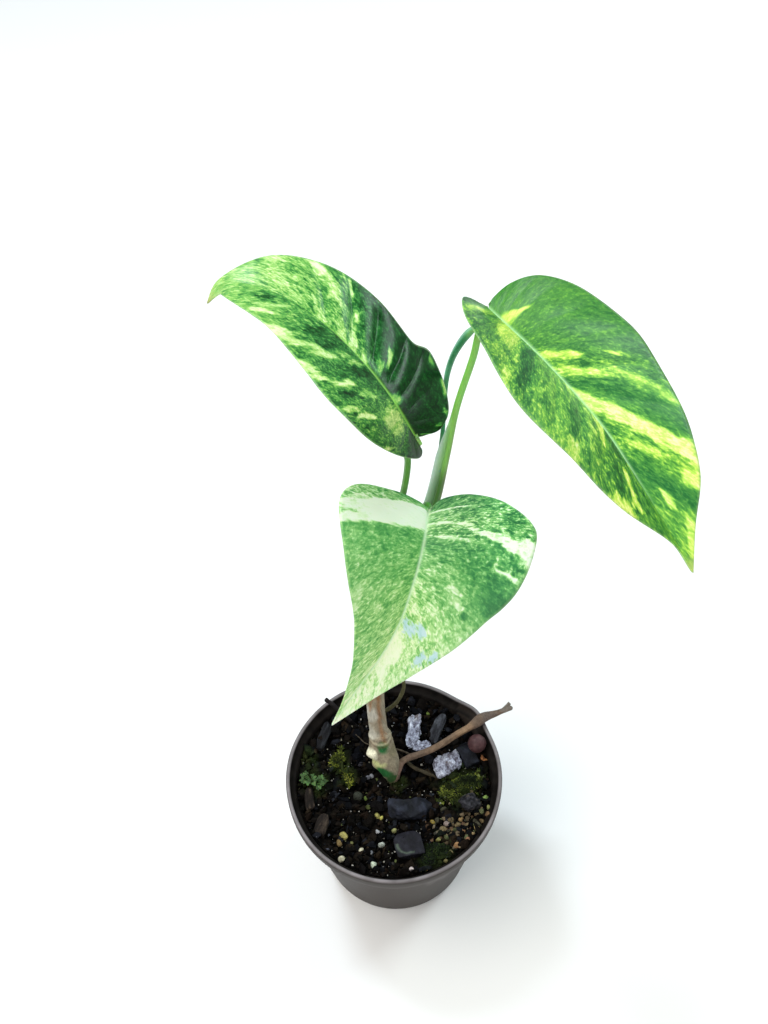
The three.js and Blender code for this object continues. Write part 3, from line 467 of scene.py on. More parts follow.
frontLeaf = {
    "order": 2,
    "midrib": [[15.3, 35.9, 211.5], [12.6, 24.3, 205.6], [8.6, 14.1, 197.4], [3.6, 5.8, 186.8],
        [-3.6, -0.4, 174.4], [-12.2, -5.8, 161.6], [-20.8, -11.6, 148.6]],
    "face": [[0.2, -0.5, 0.84], [0.36, -0.86, 0.3]], "fold": [25, 20],
    "plus": [[-0.6, 0.9], [-2, 6.3], [-3, 15.9], [-1.7, 29.7], [6.3, 34.3], [22, 29.1], [35.7, 21.6],
        [49.9, 15.1], [64.2, 8.8], [77.4, 3.6], [91.4, 0]],
    "minus": [[-0.6, -0.9], [-4.6, -4.6], [-7.2, -14.3], [-5.6, -26.4], [2.5, -36.8], [18.6, -35],
        [32.9, -26.6], [46.9, -17.9], [62, -11.5], [76.1, -6.1], [91.4, 0]],
    "petiole": [[-3.6, 24.5, 117], [1.2, 28.6, 136], [7, 33, 160], [11.2, 36.4, 182], [13.8, 38.2, 199]],
    "radius": [2, 1.3], "wing": 0.8, "wingTo": 0.5, "enter": -1.5,
    "quilt": {"plus": [(0, .12), (1, .12)], "minus": [(0, .12), (1, .12)]},
    "pattern": {
        "cloud": (3.4, 4.6, 0.75, 2.0), "streak": (0.9, 3.0, 0.8, 4.0), "speck": (0.8, 1.3, 1.3, 2.0),
    },
    "busy": {
        "plus": [(0, 1.2, 1.4), (.36, 1.2, 1.4), (.43, .6, .7), (.6, .75, .8), (.8, .9, .9), (1, 1, 1)],
        "minus": [(0, 1.2, 1.4), (.4, 1.5, 1.6), (.47, .8, 1.2), (.55, 1.1, .4), (.7, 1.1, 1.0), (1, 1, 1)],
    },
    # The front leaf's ramp is lighter than the others' partly for its own paleness and partly as a painted
    # sheen of the sky over the whole blade.
    "ramp": [(0, "#2a6a42"), (0.2, "#448c52"), (0.36, "#64ac62"), (0.5, "#90cb80"), (0.64, "#bfe5aa"),
        (0.8, "#e6f6da"), (1, "#f3faf0")],
    "rib": "#d4f2ca", "ribTo": 1.2, "ribWidth": (0.7, 0.26), "tip": "#eef3dc",
    "warm": {
        "plus": [(0, .1, .2), (.4, .15, .1), (.5, .3, .2), (.65, .5, .4), (.8, .6, .45), (1, .4, .4)],
        "minus": [(0, .05, .05), (.3, .1, .1), (.38, .25, .2), (.46, .05, .1), (.6, .25, .15), (.7, .5, .3),
            (.85, .4, .3), (1, .4, .3)],
    },
    # Painted reflections: pale blue patches where the sky shines on the blade's wax, laid on as colour.
    "paintedGloss": [(.735, .14, .038, .22), (.728, .3, .04, .24), (.708, .46, .03, .22), (.738, .8, .044, .19),
        (.712, .92, .024, .16)],
    "tones": {
        "plus": [(0, .5, .22), (.2, .5, .28), (.3, .55, .46), (.37, .6, .6), (.435, .34, .42),
            (.48, .36, .42), (.55, .4, .46), (.6, .43, .52), (.7, .5, .48), (.8, .58, .48), (.88, .64, .56),
            (1, .72, .64)],
        "minus": [(0, .35, .06), (.15, .36, .08), (.25, .44, .2), (.36, .42, .3), (.42, .34, .36),
            (.46, .26, .34), (.49, .42, .26), (.54, .56, .14), (.58, .56, .36), (.66, .58, .56),
            (.74, .64, .6), (.82, .74, .66), (.9, .8, .72), (1, .84, .8)],
    },
    "streaks": {
        "plus": [(1.1, .08, [(0, .26, .118), (.25, .29, .12), (.5, .362, .061), (.75, .395, .036)]),
            (.92, .3, [(.75, .38, .018), (1, .39, .014)]), (.95, .3, [(.72, .418, .012), (1, .426, .008)]),
            (.66, .7, [(.9, .585, .016), (1, .59, .022)]), (.34, .8, [(.05, .43, .012), (.6, .445, .01)]),
            (.7, .7, [(.1, .86, .014), (.6, .865, .012)]), (.76, .6, [(.1, .92, .016), (.8, .93, .014)])],
        "minus": [(.78, .5, [(.02, .2, .02), (.3, .24, .008), (.6, .28, .006)]),
            (.84, .5, [(.02, .34, .016), (.2, .355, .01), (.42, .385, .008)]),
            (.92, .4, [(.4, .405, .007), (.6, .425, .009), (.78, .44, .011), (1, .448, .02)]),
            (.66, .6, [(.1, .425, .008), (.5, .445, .006)]), (.3, .7, [(.22, .475, .014), (.6, .48, .016)]),
            (.94, .4, [(.7, .484, .004), (.95, .492, .006)]), (.16, .6, [(.8, .55, .016), (1, .56, .024)]),
            (.72, .7, [(.4, .575, .01), (.55, .58, .008)]), (.74, .6, [(.6, .60, .006), (.8, .604, .008)]),
            (.24, .7, [(.74, .61, .012), (.84, .61, .012)]),
            (.98, .7, [(.04, .795, .034), (.22, .80, .034), (.46, .80, .018)]),
            (.88, .7, [(.1, .845, .012), (.7, .855, .014)]), (.55, .7, [(.3, .87, .008), (.6, .87, .01)])],
    },
}
rightLeaf = {
    "order": 0,
    "midrib": [[33.4, 54, 287], [44.8, 43.3, 281.7], [55.5, 31.8, 276.2], [65.1, 19.7, 270.5],
        [72.8, 6.8, 265], [80.2, -6.6, 259.4], [87, -20, 254]],
    "face": [[0.49, 0.14, 0.86], [0.28, -0.18, 0.94]], "fold": [20, 24],
    "plus": [[-0.6, 0.9], [-3.2, 6.1], [-5.8, 13], [1.4, 26.3], [13.4, 31.9], [29.5, 34.4], [45.5, 31],
        [60.3, 24], [74.6, 15.6], [88.4, 2.2], [98, 0]],
    "minus": [[-0.6, -0.9], [-2, -4.9], [-2, -14.9], [2, -26.4], [12.6, -34.6], [28.5, -34.5], [43.9, -29.6],
        [59.5, -24.5], [74.1, -17.4], [86.1, -7.8], [98, 0]],
    "petiole": [[-0.6, 33.5, 146], [5.4, 39.4, 166], [12.6, 43.6, 184], [17.8, 46, 201], [21.5, 47.5, 226],
        [24.6, 49.2, 249], [29.2, 51.4, 269.4]],
    "radius": [2.4, 1.1], "wing": 2.1, "wingTo": 0.72, "enter": 1,
    "quilt": {
        "plus": [(0, .08), (.4, .25), (.6, .55), (.75, .4), (1, .1)],
        "minus": [(0, .04), (.4, .08), (.6, .2), (1, .12)],
    },
    "pattern": {
        "cloud": (3.2, 6, 0.75, 3.0), "streak": (1.1, 3.2, 0.85, 4.0), "speck": (0.75, 1.4, 1.15, 2.0),
    },
    "busy": {
        "plus": [(0, .6, .6), (.3, 1, 1), (.42, .5, 1.1), (.5, 1.2, 1.1), (.6, .8, .8), (.7, 1, 1),
            (.8, 1.3, 1.1), (1, .9, .9)],
        "minus": [(0, .4, .35), (.4, .5, .4), (.54, .7, .6), (.62, 1.0, .9), (.68, .6, .5), (.72, .9, .5),
            (.78, 1.1, 1), (.85, .6, .6), (1, .9, .9)],
    },
    "ramp": [(0, "#194f2c"), (0.2, "#2e6e3a"), (0.34, "#4b8c44"), (0.46, "#6aaa4c"), (0.56, "#93c956"),
        (0.68, "#bee06a"), (0.84, "#e2ef98"), (1, "#f4f8c4")],
    "rib": "#b4e8a4", "ribTo": 0.85, "ribWidth": (0.8, 0.25), "tip": "#aebf6a", "gloss": 0.15,
    "warm": {
        "plus": [(0, .6, .4), (.4, .8, .5), (.5, .1, .4), (.62, .1, .4), (.7, 0, .4), (.76, .8, .7),
            (1, .8, .9)],
        "minus": [(0, .6, .6), (.3, .9, .8), (.5, .7, .6), (.6, .6, .5), (.66, .2, .1), (.72, .2, .2),
            (.8, .4, .6), (.86, .1, .2), (1, .5, .6)],
    },
    "tones": {
        "plus": [(0, .3, .05), (.22, .4, .1), (.26, .5, .5), (.29, .3, .26), (.34, .28, .28), (.42, .42, .38),
            (.47, .36, .46), (.51, .26, .32), (.56, .42, .4), (.63, .4, .46), (.67, .32, .4), (.72, .44, .38),
            (.78, .24, .28), (.86, .26, .32), (1, .45, .46)],
        "minus": [(0, .3, .25), (.3, .34, .27), (.4, .34, .3), (.5, .32, .26), (.57, .35, .24),
            (.63, .36, .3), (.67, .33, .25), (.7, .42, .25), (.76, .42, .34), (.8, .42, .47), (.84, .28, .34),
            (.87, .28, .3), (.92, .43, .46), (1, .46, .52)],
    },
    "streaks": {
        "plus": [(.66, .6, [(.4, .262, .014), (.85, .256, .012)]),
            (.66, .45, [(.04, .395, .06), (.2, .405, .056), (.38, .412, .044), (.52, .42, .024)]),
            (.66, .5, [(.85, .457, .01), (1, .46, .014)]),
            (.1, .7, [(.12, .51, .02), (.5, .51, .018), (.8, .505, .012)]),
            (.7, .6, [(0, .66, .018), (.14, .665, .01)]),
            (.2, .8, [(.28, .67, .014), (.5, .665, .017), (.72, .66, .01)]),
            (.6, .7, [(.3, .725, .012), (.52, .72, .01)]), (.68, .5, [(.76, .665, .01), (1, .66, .02)]),
            (.74, .5, [(0, .75, .018), (.16, .757, .014), (.36, .762, .008)]),
            (.14, .6, [(.04, .805, .02), (.32, .805, .016)]),
            (.76, .5, [(.34, .82, .006), (.82, .832, .008)]), (.2, .8, [(.5, .795, .012), (.84, .80, .012)]),
            (.78, .5, [(.88, .795, .022), (1, .795, .034)])],
        "minus": [(.74, .6, [(.03, .325, .04), (.16, .342, .032), (.26, .365, .012), (.35, .378, .008)]),
            (.7, .7, [(.02, .558, .012), (.2, .565, .013), (.36, .578, .007)]),
            (.7, .6, [(.03, .615, .014), (.2, .622, .014), (.45, .632, .01)]),
            (.62, .9, [(.48, .615, .018), (.75, .638, .017), (1, .662, .01)]),
            (.78, .5, [(.64, .576, .004), (.7, .577, .004)]),
            (.26, .6, [(.03, .652, .008), (.3, .668, .012), (.6, .682, .014), (1, .7, .022)]),
            (.82, .4, [(0, .70, .032), (.25, .73, .024), (.5, .748, .021), (.75, .757, .018),
            (1, .768, .026)]), (.66, .6, [(.2, .79, .008), (.6, .795, .012)]),
            (.72, .5, [(.8, .825, .02), (1, .82, .03)]),
            (.24, .6, [(.02, .84, .016), (.5, .853, .014), (1, .862, .02)]),
            (.76, .6, [(.42, .886, .01), (.58, .888, .01)]), (.68, .6, [(.8, .93, .03), (1, .93, .04)])],
    },
}
leaves = {"left": leftLeaf, "front": frontLeaf, "right": rightLeaf}
bladeLook = {
    "rows": 230, "columns": 44, "crowd": (1.6, 0.4),  # the columns crowd towards the midrib
    "slopeSteps": 160,  # the midrib's slope is taken over two of these steps
    "lastRoot": 0.985, "rootPower": 2.8, "rootEven": 0.06,  # where the side veins leave the midrib
    "veinBow": 0.16,  # how far the side veins bow towards the base
    "above": 0.2, "below": 0.22, "thinned": 0.55,  # half thicknesses in mm, and how much goes at the margin
    "ridge": (0.9, 1.4, 0.75), "groove": (0.28, 0.7, 0.8),  # depth, width, and how much fades by the tip
    "arch": (-4, 10),  # degrees of bend, over so many mm out
    "veins": 13, "swellPower": 0.8, "swellMean": 0.6, "veinLean": 0.02, "veinWander": (0.006, 30, 3),
    "swellOut": (0.03, 0.3, 0.75, 1), "swellShare": (0.1, 0.3), "swellFade": (0.6, 0.75, 0.95),
    "wave": 0.5, "waveCount": 3.5, "waveShift": (1.7, 2),
    "uneven": 0.18, "unevenCell": 11, "rim": (0.975, 0.995), "tip": (0.5, 6), "ribFade": 0.3,
    "uvWidth": 0.12,  # what the whole margin counts for in the veins map, in metres
}
streakLook = {
    "cells": (60, 12, 9.0),  # noise cells along the margin, along a vein, and from leaf to leaf
    "strands": [4, 0.45, 1], "wander": 0.005, "fray": 0.007, "endFray": 0.06,
    "start": (-0.06, 0.03), "stop": (-0.03, 0.07), "fromRib": 0.03,
}


# A point of a uniform Catmull-Rom line through the points, its ends mirrored: the cubic of four points in a
# row.
def lineAt(points, share):
    line = np.asarray(points, float)
    spans = len(line) - 1
    full = np.vstack([2 * line[0] - line[1], line, 2 * line[-1] - line[-2]])
    place = np.clip(share, 0, 1) * spans
    first = np.minimum(place.astype(int), spans - 1)
    t = (place - first)[..., None]
    a, b, c, d = (full[first + k] for k in range(4))
    square, cube = 2 * a - 5 * b + 4 * c - d, 3 * b - a - 3 * c + d
    return 0.5 * (2 * b + (c - a) * t + square * t ** 2 + cube * t ** 3)


# The midrib at these places along it (mm): point, direction, the way the face looks, side, share of its
# length. The face turns evenly from the base's to the tip's and is squared to the direction; the side is
# their cross.
def ribAt(leaf, along):
    line = lineAt(leaf["midrib"], np.linspace(0, 1, 241))
    run = np.concatenate([[0], np.cumsum(np.linalg.norm(np.diff(line, axis=0), axis=1))])
    held = np.clip(along, 0, run[-1])
    step = run[-1] / bladeLook["slopeSteps"]

    def at(wanted):
        return np.stack([np.interp(wanted, run, line[:, k]) for k in range(3)], -1)

    direction = unit(at(np.minimum(held + step, run[-1])) - at(np.maximum(held - step, 0)))
    share = held / run[-1]
    base, tip = unit(np.array(leaf["face"], float))
    face = mix(base, tip, share[..., None])
    face = unit(face - np.sum(face * direction, -1, keepdims=True) * direction)
    point = at(held) + (along - held)[..., None] * direction
    return point, direction, face, np.cross(direction, face), share, run[-1]


# A half's flat place (along, across) for a share of the margin and a share out along the vein: the straight
# line from the vein's root to the margin, bowed towards the base by out * (1 - out).
def flatPlace(leaf, outline, share, out):
    look = bladeLook
    total = ribAt(leaf, np.zeros(1))[5]
    root = look["lastRoot"] * total * mix(share ** look["rootPower"], share, look["rootEven"])
    edge = lineAt(outline, share)
    along = mix(root, edge[..., 0], out) - look["veinBow"] * np.abs(edge[..., 1]) * out * (1 - out)
    veinLength = np.hypot(edge[..., 0] - root, edge[..., 1])
    return along, edge[..., 1] * out, veinLength


# The value of a table of (share, at the midrib, at the margin) at each place of a half: straight between
# rows.
def evenly(table, share, out):
    shares, inner, outer = np.array(table).T
    return mix(np.interp(share, shares, inner), np.interp(share, shares, outer), out)


# How pale each place of a half is, 0 to 1: the even tones first, then the streaks over them. A streak holds
# where the distance to its middle, which noise makes wander, is under its half width.
def paleness(leaf, half, share, out):
    look = streakLook
    pale = evenly(leaf["tones"][half], share, out)
    around, outwards, apart = look["cells"]
    spot = np.stack([share * around, out * outwards, np.full_like(out, leaf["order"] * apart)], -1)
    strand = noise(spot * look["strands"], 1.0, 8)
    wander = look["wander"] * noise(spot, 1.0, 3) + look["fray"] * strand
    reached = out + look["endFray"] * strand
    for level, soft, marks in leaf["streaks"][half]:
        marks = np.array(marks)
        middle, width = (np.interp(out, marks[:, 0], marks[:, k]) for k in (1, 2))
        aside = np.abs(share + wander - middle) / width
        start, stop = marks[0, 0], marks[-1, 0]
        begun = smooth(reached, *(start + np.array(look["start"]))) if start > look["fromRib"] else 1
        ended = smooth(reached, *(stop + np.array(look["stop"])))
        pale = mix(pale, level, begun * (1 - ended) * (1 - smooth(aside, 1 - soft, 1 + soft)))
    return pale


# The middle surface of one half and its numbers. Across the midrib the half rises by the fold and arches down
# again along a circle, so that its place is the midrib's point + the circle's run out + its rise. The swell
# between the side veins is |sin| of the share times the number of veins, and the margin waves.
def bladeHalf(leaf, half, sign, shareLine, outs):
    look = bladeLook
    share, out = np.meshgrid(shareLine, outs, indexing="ij")
    along, across, veinLength = flatPlace(leaf, leaf[half], share, out)
    point, _, face, side, ribShare, total = ribAt(leaf, along)
    rise = np.radians(mix(*leaf["fold"], ribShare))
    bend = math.radians(look["arch"][0]) / look["arch"][1]
    reach = np.abs(across)
    runOut = (np.sin(rise + bend * reach) - np.sin(rise)) / bend
    lift = (np.cos(rise) - np.cos(rise + bend * reach)) / bend
    leafShift, halfShift = look["waveShift"]
    shift = leaf["order"] * leafShift + (0 if sign > 0 else halfShift)
    swing = np.sin(2 * np.pi * look["waveCount"] * share + shift)
    lift = lift + look["wave"] * out ** 2 * np.sin(np.pi * share) * swing
    wander, around, outwards = look["veinWander"]
    spot = np.stack([share * around, out * outwards, np.full_like(out, leaf["order"])], -1)
    shifted = share + look["veinLean"] * out + wander * noise(spot, 1)
    swell = np.abs(np.sin(np.pi * look["veins"] * shifted)) ** look["swellPower"] - look["swellMean"]
    a, b, c, d = look["swellOut"]
    inside = smooth(out, a, b) * (1 - smooth(out, c, d)) * smooth(share, *look["swellShare"])
    faded, fadeFrom, fadeTo = look["swellFade"]
    quilt = np.array(leaf["quilt"][half])
    swell = np.interp(share, quilt[:, 0], quilt[:, 1]) * swell * inside
    lift = lift + swell * (1 - faded * smooth(share, fadeFrom, fadeTo))
    place = point + (np.sign(across) * runOut)[..., None] * side + lift[..., None] * face
    paintedGloss = np.zeros_like(share)
    for where, far, wide, long in leaf.get("paintedGloss", []) if sign < 0 else []:
        paintedGloss = np.maximum(paintedGloss, 1 - np.hypot((share - where) / wide, (out - far) / long))
    ribEnds = 1 - smooth(ribShare, leaf["ribTo"] - look["ribFade"], leaf["ribTo"])
    numbers = {
        "pale": paleness(leaf, half, share, out), "warm": evenly(leaf["warm"][half], share, out),
        "busy": evenly(leaf["busy"][half], share, out), "paintedGloss": paintedGloss,
        "rib": bump(across, 0, mix(*leaf["ribWidth"], ribShare)) * ribEnds,
        "rim": smooth(out, *look["rim"]), "tip": 1 - smooth(total - along, *look["tip"]), "across": reach,
    }
    uv = np.stack([share * look["uvWidth"], sign * out * veinLength * toMetres], -1)
    return place, numbers, uv


# The way each point of a surface looks: the sum of the crosses of the triangles round it, over its length.
# Points that lie together, as those where the veins meet do, share theirs.
def looksAt(points, faces, together=0.01):
    rounded = np.round(points / together).astype(np.int64)
    where = np.unique(rounded, axis=0, return_inverse=True)[1].ravel()
    a, b, c = (points[faces[:, k]] for k in range(3))
    total = np.zeros((where.max() + 1, 3))
    for k in range(3):
        np.add.at(total, where[faces[:, k]], np.cross(b - a, c - a))
    return unit(total[where])


# The blade: both halves side by side are its middle surface, and the two skins lie a half thickness off it,
# up and down. The midrib is a groove above and a ridge below, both bells of the distance across.
def makeBlade(name, leaf, material):
    look = bladeLook
    rows = look["rows"]
    t = np.linspace(0, 1, look["columns"])
    power, even = look["crowd"]
    outs = mix(t ** power, t, even)
    shareLine = np.linspace(0, 1, rows)
    halves = [bladeHalf(leaf, "plus", 1, shareLine, outs[::-1]),
              bladeHalf(leaf, "minus", -1, shareLine, outs[1:])]
    middle, uv = (np.concatenate([part[k] for part in halves], axis=1) for k in (0, 2))
    columns = middle.shape[1]
    middle, uv = middle.reshape(-1, 3), uv.reshape(-1, 2)
    middle = middle + look["uneven"] * noise(middle, look["unevenCell"], leaf["order"])[:, None] * [0, 0, 1]
    numbers = {key: np.concatenate([part[1][key] for part in halves], axis=1).ravel() for key in halves[0][1]}
    faces = gridFaces(rows, columns)
    normal = looksAt(middle, faces)
    facing = ribAt(leaf, np.full(1, 30.0))[2][0]  # the face, 30 mm along the midrib
    if np.sum(normal @ facing) < 0:
        normal = -normal
    across = numbers.pop("across")
    share = np.repeat(shareLine, columns)
    groove, ridge = (deep * bump(across, 0, wide) * (1 - fade * share)
                     for deep, wide, fade in (look["groove"], look["ridge"]))
    thick = 1 - look["thinned"] * numbers["rim"]
    top = middle + normal * (look["above"] * thick - groove)[:, None]
    under = middle - normal * (look["below"] * thick + ridge)[:, None]
    count = len(middle)
    index = np.arange(count).reshape(rows, columns)
    loop = np.concatenate([index[0], index[1:, -1], index[-1, -2::-1], index[-2:0:-1, 0]])
    onward = np.roll(loop, -1)
    rim = np.concatenate([np.stack([loop, onward, onward + count], -1),
                          np.stack([loop, onward + count, loop + count], -1)])
    points = np.concatenate([top, under])
    shell = outward(points, np.concatenate([faces, faces[:, ::-1] + count, rim[:, ::-1]]))
    numbers = {key: np.tile(value, 2) for key, value in numbers.items()}
    numbers["under"] = np.repeat([0.0, 1.0], count)
    makePiece(name, points, shell, material, [f"{name}_blade"], numbers=numbers,
              uv=np.tile(uv, (2, 1)))


# A variegated leaf blade, satin from its wax: chlorophyll lies patchily, so the eye sees dark green broken by
# paler clouds, streaks that follow the veins, and specks. Their sizes are in mm, across and along the veins,
# and the shares say how strongly each one shifts the paleness. Below, the blade is paler and duller.
leafSkin = {
    "roughness": 0.3, "ior": 1.45, "gloss": 0.2, "relief": 0.03, "cool": "#f6fffc", "yellowed": "#fffcb8",
    "rim": "#b9dba0", "paintedGloss": "#bcdcea", "below": "#8fb978", "depth": (0.1, 0.0006),
    "apart": (7.3, 0, 3.1), "grain": {"Scale": 1.0, "Roughness": 0.6, "Distortion": 0.5},
    "darkest": -0.03,  # specks are pale flecks on an even green, and no darker than this
    "torn": (6.0, -4.5), "paintedGlossGain": 3.4, "paintedGlossShare": 0.8,
    "shares": {"warm": 1.0, "paintedGloss": 1.0, "rib": 0.8, "rim": 0.35, "tip": 0.8, "under": 0.5},
}


# The colour is the leaf's ramp at pale + busy * the sum of the layers' swings, times a cool or warm white,
# and then the painted reflections of the sky, the midrib, the rim, the tip and the underside are laid over
# it by their own numbers.
def leafMaterial(name, leaf):
    look = leafSkin
    deep, deepScale = look["depth"]
    material, tree, shader = newMaterial(name, look["roughness"], look["ior"], {
        "Specular IOR Level": leaf.get("gloss", look["gloss"]),
        "Subsurface Weight": deep, "Subsurface Scale": deepScale})
    place = addNode(tree, "UVMap", {"uv_map": "veins"})
    number = {key: addNode(tree, "Attribute", {"attribute_name": key}).outputs["Fac"]
              for key in ("pale", "busy", *look["shares"])}
    fields, value = {}, 0.0
    for kind, (wide, long, strength, detail) in leaf["pattern"].items():
        spot = addNode(tree, "Mapping", inputs={
            "Vector": place, "Location": [leaf["order"] * way for way in look["apart"]],
            "Scale": (1 / toMetres / wide, 1 / toMetres / long, 1)})
        fields[kind] = addNode(tree, "TexNoise", inputs={
            "Vector": spot, "Detail": detail, **look["grain"]})
        swing = addNode(tree, "Math", {"operation": "SUBTRACT"}, {0: fields[kind], 1: 0.5})
        if kind == "speck":
            swing = addNode(tree, "Math", {"operation": "MAXIMUM"}, {0: swing, 1: look["darkest"]})
        value = addNode(tree, "Math", {"operation": "MULTIPLY_ADD"}, {
            0: swing, 1: strength, 2: value})
    value = addNode(tree, "Math", {"operation": "MULTIPLY_ADD"}, {
        0: value, 1: number["busy"], 2: number["pale"]})
    ramp = addNode(tree, "ValToRGB", inputs={"Fac": value})
    fillRamp(ramp, leaf["ramp"])
    shares = {key: addNode(tree, "Math", {"operation": "MULTIPLY", "use_clamp": True}, {
        0: number[key], 1: strength}) for key, strength in look["shares"].items()}
    hue = addNode(tree, "Mix", {"data_type": "RGBA"}, {
        0: shares["warm"], 6: rgba(look["cool"]), 7: rgba(look["yellowed"])})
    shade = addNode(tree, "Mix", {"data_type": "RGBA", "blend_type": "MULTIPLY"}, {
        0: 1.0, 6: ramp, 7: hue})
    # The painted reflections are torn into broken patches by the streak noise.
    torn = addNode(tree, "Math", {"operation": "MULTIPLY_ADD"}, {
        0: fields["streak"], 1: look["torn"][0], 2: look["torn"][1]})
    glossPainted = addNode(tree, "Math", {"operation": "MULTIPLY_ADD", "use_clamp": True}, {
        0: shares["paintedGloss"], 1: look["paintedGlossGain"], 2: torn})
    shares["paintedGloss"] = addNode(tree, "Math", {"operation": "MULTIPLY"}, {
        0: glossPainted, 1: look["paintedGlossShare"]})
    layers = {"paintedGloss": look["paintedGloss"], "rib": leaf["rib"], "rim": look["rim"], "tip": leaf["tip"],
              "under": look["below"]}
    for key, colour in layers.items():
        shade = addNode(tree, "Mix", {"data_type": "RGBA"}, {
            0: shares[key], 6: shade, 7: rgba(colour)})
    tree.links.new(next(output for output in shade.outputs if output.enabled), shader.inputs["Base Color"])
    relief = addNode(tree, "Bump", inputs={
        "Height": fields["streak"], "Strength": 1.0, "Distance": look["relief"] * toMetres})
    tree.links.new(relief.outputs[0], shader.inputs["Normal"])
    return material


for leafName, leaf in leaves.items():
    makeBlade(f"leaf_{leafName}", leaf, leafMaterial(f"variegated leaf {leafName}", leaf))
print("leaf blades done")


# Petioles: each runs on one curve from the cane to the underside of its midrib. Its section is round, with
# the sheath's wing on its left over the lower part and a swollen knee at the top.
petioleLook = {
    "rings": 220, "sides": 56, "cap": 0.008,
    "end": [(0, 5), (0.9, 2.2)], "last": (4, 0.95),  # the way in: mm along the midrib, mm under it
    "foot": 0.5, "footTo": 0.16, "taperTo": 0.8, "grooves": 9, "grooveDepth": 0.035,
    "wingFade": 0.16, "wingSpread": 0.42, "slit": (0.2, 2.35, 0.22),  # depth, angle, spread
    "knee": 0.35, "kneeLength": 10, "kneeRise": 1.6, "kneeEnd": 0.8, "kneeEndFrom": 0.55,
    "openFade": (-0.12, 0.02), "fullWing": 1.5,
    "wingStripes": [("#8fb592", 0.7, 0.75), ("#cfe6dc", 0.8, 0.35)],  # colour, strength, spread
    "brownStripe": ("#6f6c28", 0.7, 0.3, 0.6),  # colour, strength, angle, spread
    "colours": {
        "left": ("#46861f", [(-4.5, 30, 132, 26, "#4d8c2c", 1), (8, 45.5, 224, 22, "#4c8a24", 1),
                             (8.2, 40, 214.4, 1.7, "#23241a", 1)]),
        "front": ("#4f9438", []),
        "right": ("#4a7a2a", [(24, 48.6, 238, 26, "#82bf54", 0.9), (28, 51, 262, 20, "#80c058", 1),
                              (8, 42, 176, 24, "#5a812c", 0.8)]),
    },
}
# A petiole: fresh green stalk with a satin skin, finely grooved along its length.
petioleSkin = naturalMaterial("fresh petiole", {
    "roughness": 0.42, "shine": 0.4, "cell": 1.1, "fine": 0.35, "stretch": 9, "range": (0.9, 1.1),
    "relief": 0.06, "extra": {"Subsurface Weight": 0.15, "Subsurface Scale": 0.001}})


# The petiole's own points, and then three that lead it in under the midrib: the midrib's first point, moved
# along it and down from its face.
def stalkPath(leaf):
    point, direction, face = (value[0] for value in ribAt(leaf, np.zeros(1))[:3])
    ways = [(leaf["enter"] + along, under) for along, under in petioleLook["end"]] + [petioleLook["last"]]
    return np.vstack([leaf["petiole"], [point + direction * along - face * under for along, under in ways]])


# The radius: a taper, a foot, a wing that is a bell round the far side, a slit beside it, fine cosine
# grooves, and a half sine for the knee, which thins out at its end.
def stalkReach(leaf, kneeFrom, along, angle):
    look = petioleLook
    foot = look["foot"] * (1 - smooth(along, 0, look["footTo"]))
    body = mix(*leaf["radius"], smooth(along, 0, look["taperTo"]))
    opened = 1 - smooth(along, leaf["wingTo"] - look["wingFade"], leaf["wingTo"])
    wing = leaf["wing"] * opened * bump(np.abs(angle), np.pi, look["wingSpread"])
    deep, slitAt, slitSpread = look["slit"]
    slit = deep * leaf["wing"] * opened * bump(angle, slitAt, slitSpread)
    share = np.clip((along - kneeFrom) / (1 - kneeFrom), 0, 1)
    knee = look["knee"] * np.sin(np.pi * np.minimum(share * look["kneeRise"], 1))
    knee = knee - (body - look["kneeEnd"]) * smooth(share, look["kneeEndFrom"], 1)
    return body + wing - slit + foot + knee + look["grooveDepth"] * np.cos(angle * look["grooves"])


# The wing's stripes follow the same bells as its shape, over the stretch where the sheath is open.
def makePetiole(leafName, leaf):
    look = petioleLook
    path = stalkPath(leaf)
    kneeFrom = 1 - look["kneeLength"] / curveAt(path, [0.0])[1]
    points, faces, along, angle = tube(path, look["rings"], look["sides"], lambda along, angle, z: (
        stalkReach(leaf, kneeFrom, along, angle)), look["cap"])
    tint = painted(points, *look["colours"][leafName])
    fadeFrom, fadeTo = look["openFade"]
    opened = 1 - smooth(along, leaf["wingTo"] + fadeFrom, leaf["wingTo"] + fadeTo)
    winged = opened * min(1, leaf["wing"] / look["fullWing"])
    for shade, strength, spread in look["wingStripes"]:
        tint = laid(tint, shade, strength * bump(np.abs(angle), np.pi, spread) * winged)
    shade, strength, middle, spread = look["brownStripe"]
    tint = laid(tint, shade, strength * bump(angle, middle, spread) * opened)
    makePiece(f"petiole_{leafName}", points, faces, petioleSkin, [f"leaf_{leafName}_petiole"],
              tint)


for leafName, leaf in leaves.items():
    makePetiole(leafName, leaf)

# The young shoot: the next leaf, still rolled round itself, that leaves the sheath.
shootLook = {
    "path": [[19.2, 46.6, 218], [19.7, 49.8, 225.5], [20.9, 56.5, 229.4], [21.8, 64.2, 234],
             [22.6, 68.4, 241.6], [24.2, 69.2, 249.5], [26.6, 68, 258], [29.6, 66.1, 265.5],
             [34.8, 62.8, 274.2]],
    "rings": 160, "sides": 40, "radius": [0.75, 1.25], "fullAt": (0.3, 0.75), "pointFrom": 0.8, "point": 0.2,
    "roll": 0.12, "rollFrom": (0.5, 0.7), "rollTurn": 5,
    "colour": "#3d8a5c", "dabs": [(19.5, 48, 222, 9, "#7fa98c", 0.7), (33, 64, 271, 8, "#7fbf74", 0.8)],
    # A painted highlight: a pale band along the shoot's back, on the side where the key light falls.
    "paintedHighlight": ("#8fc4ae", 0.55, 0.5),  # along its back: colour, strength, spread
}


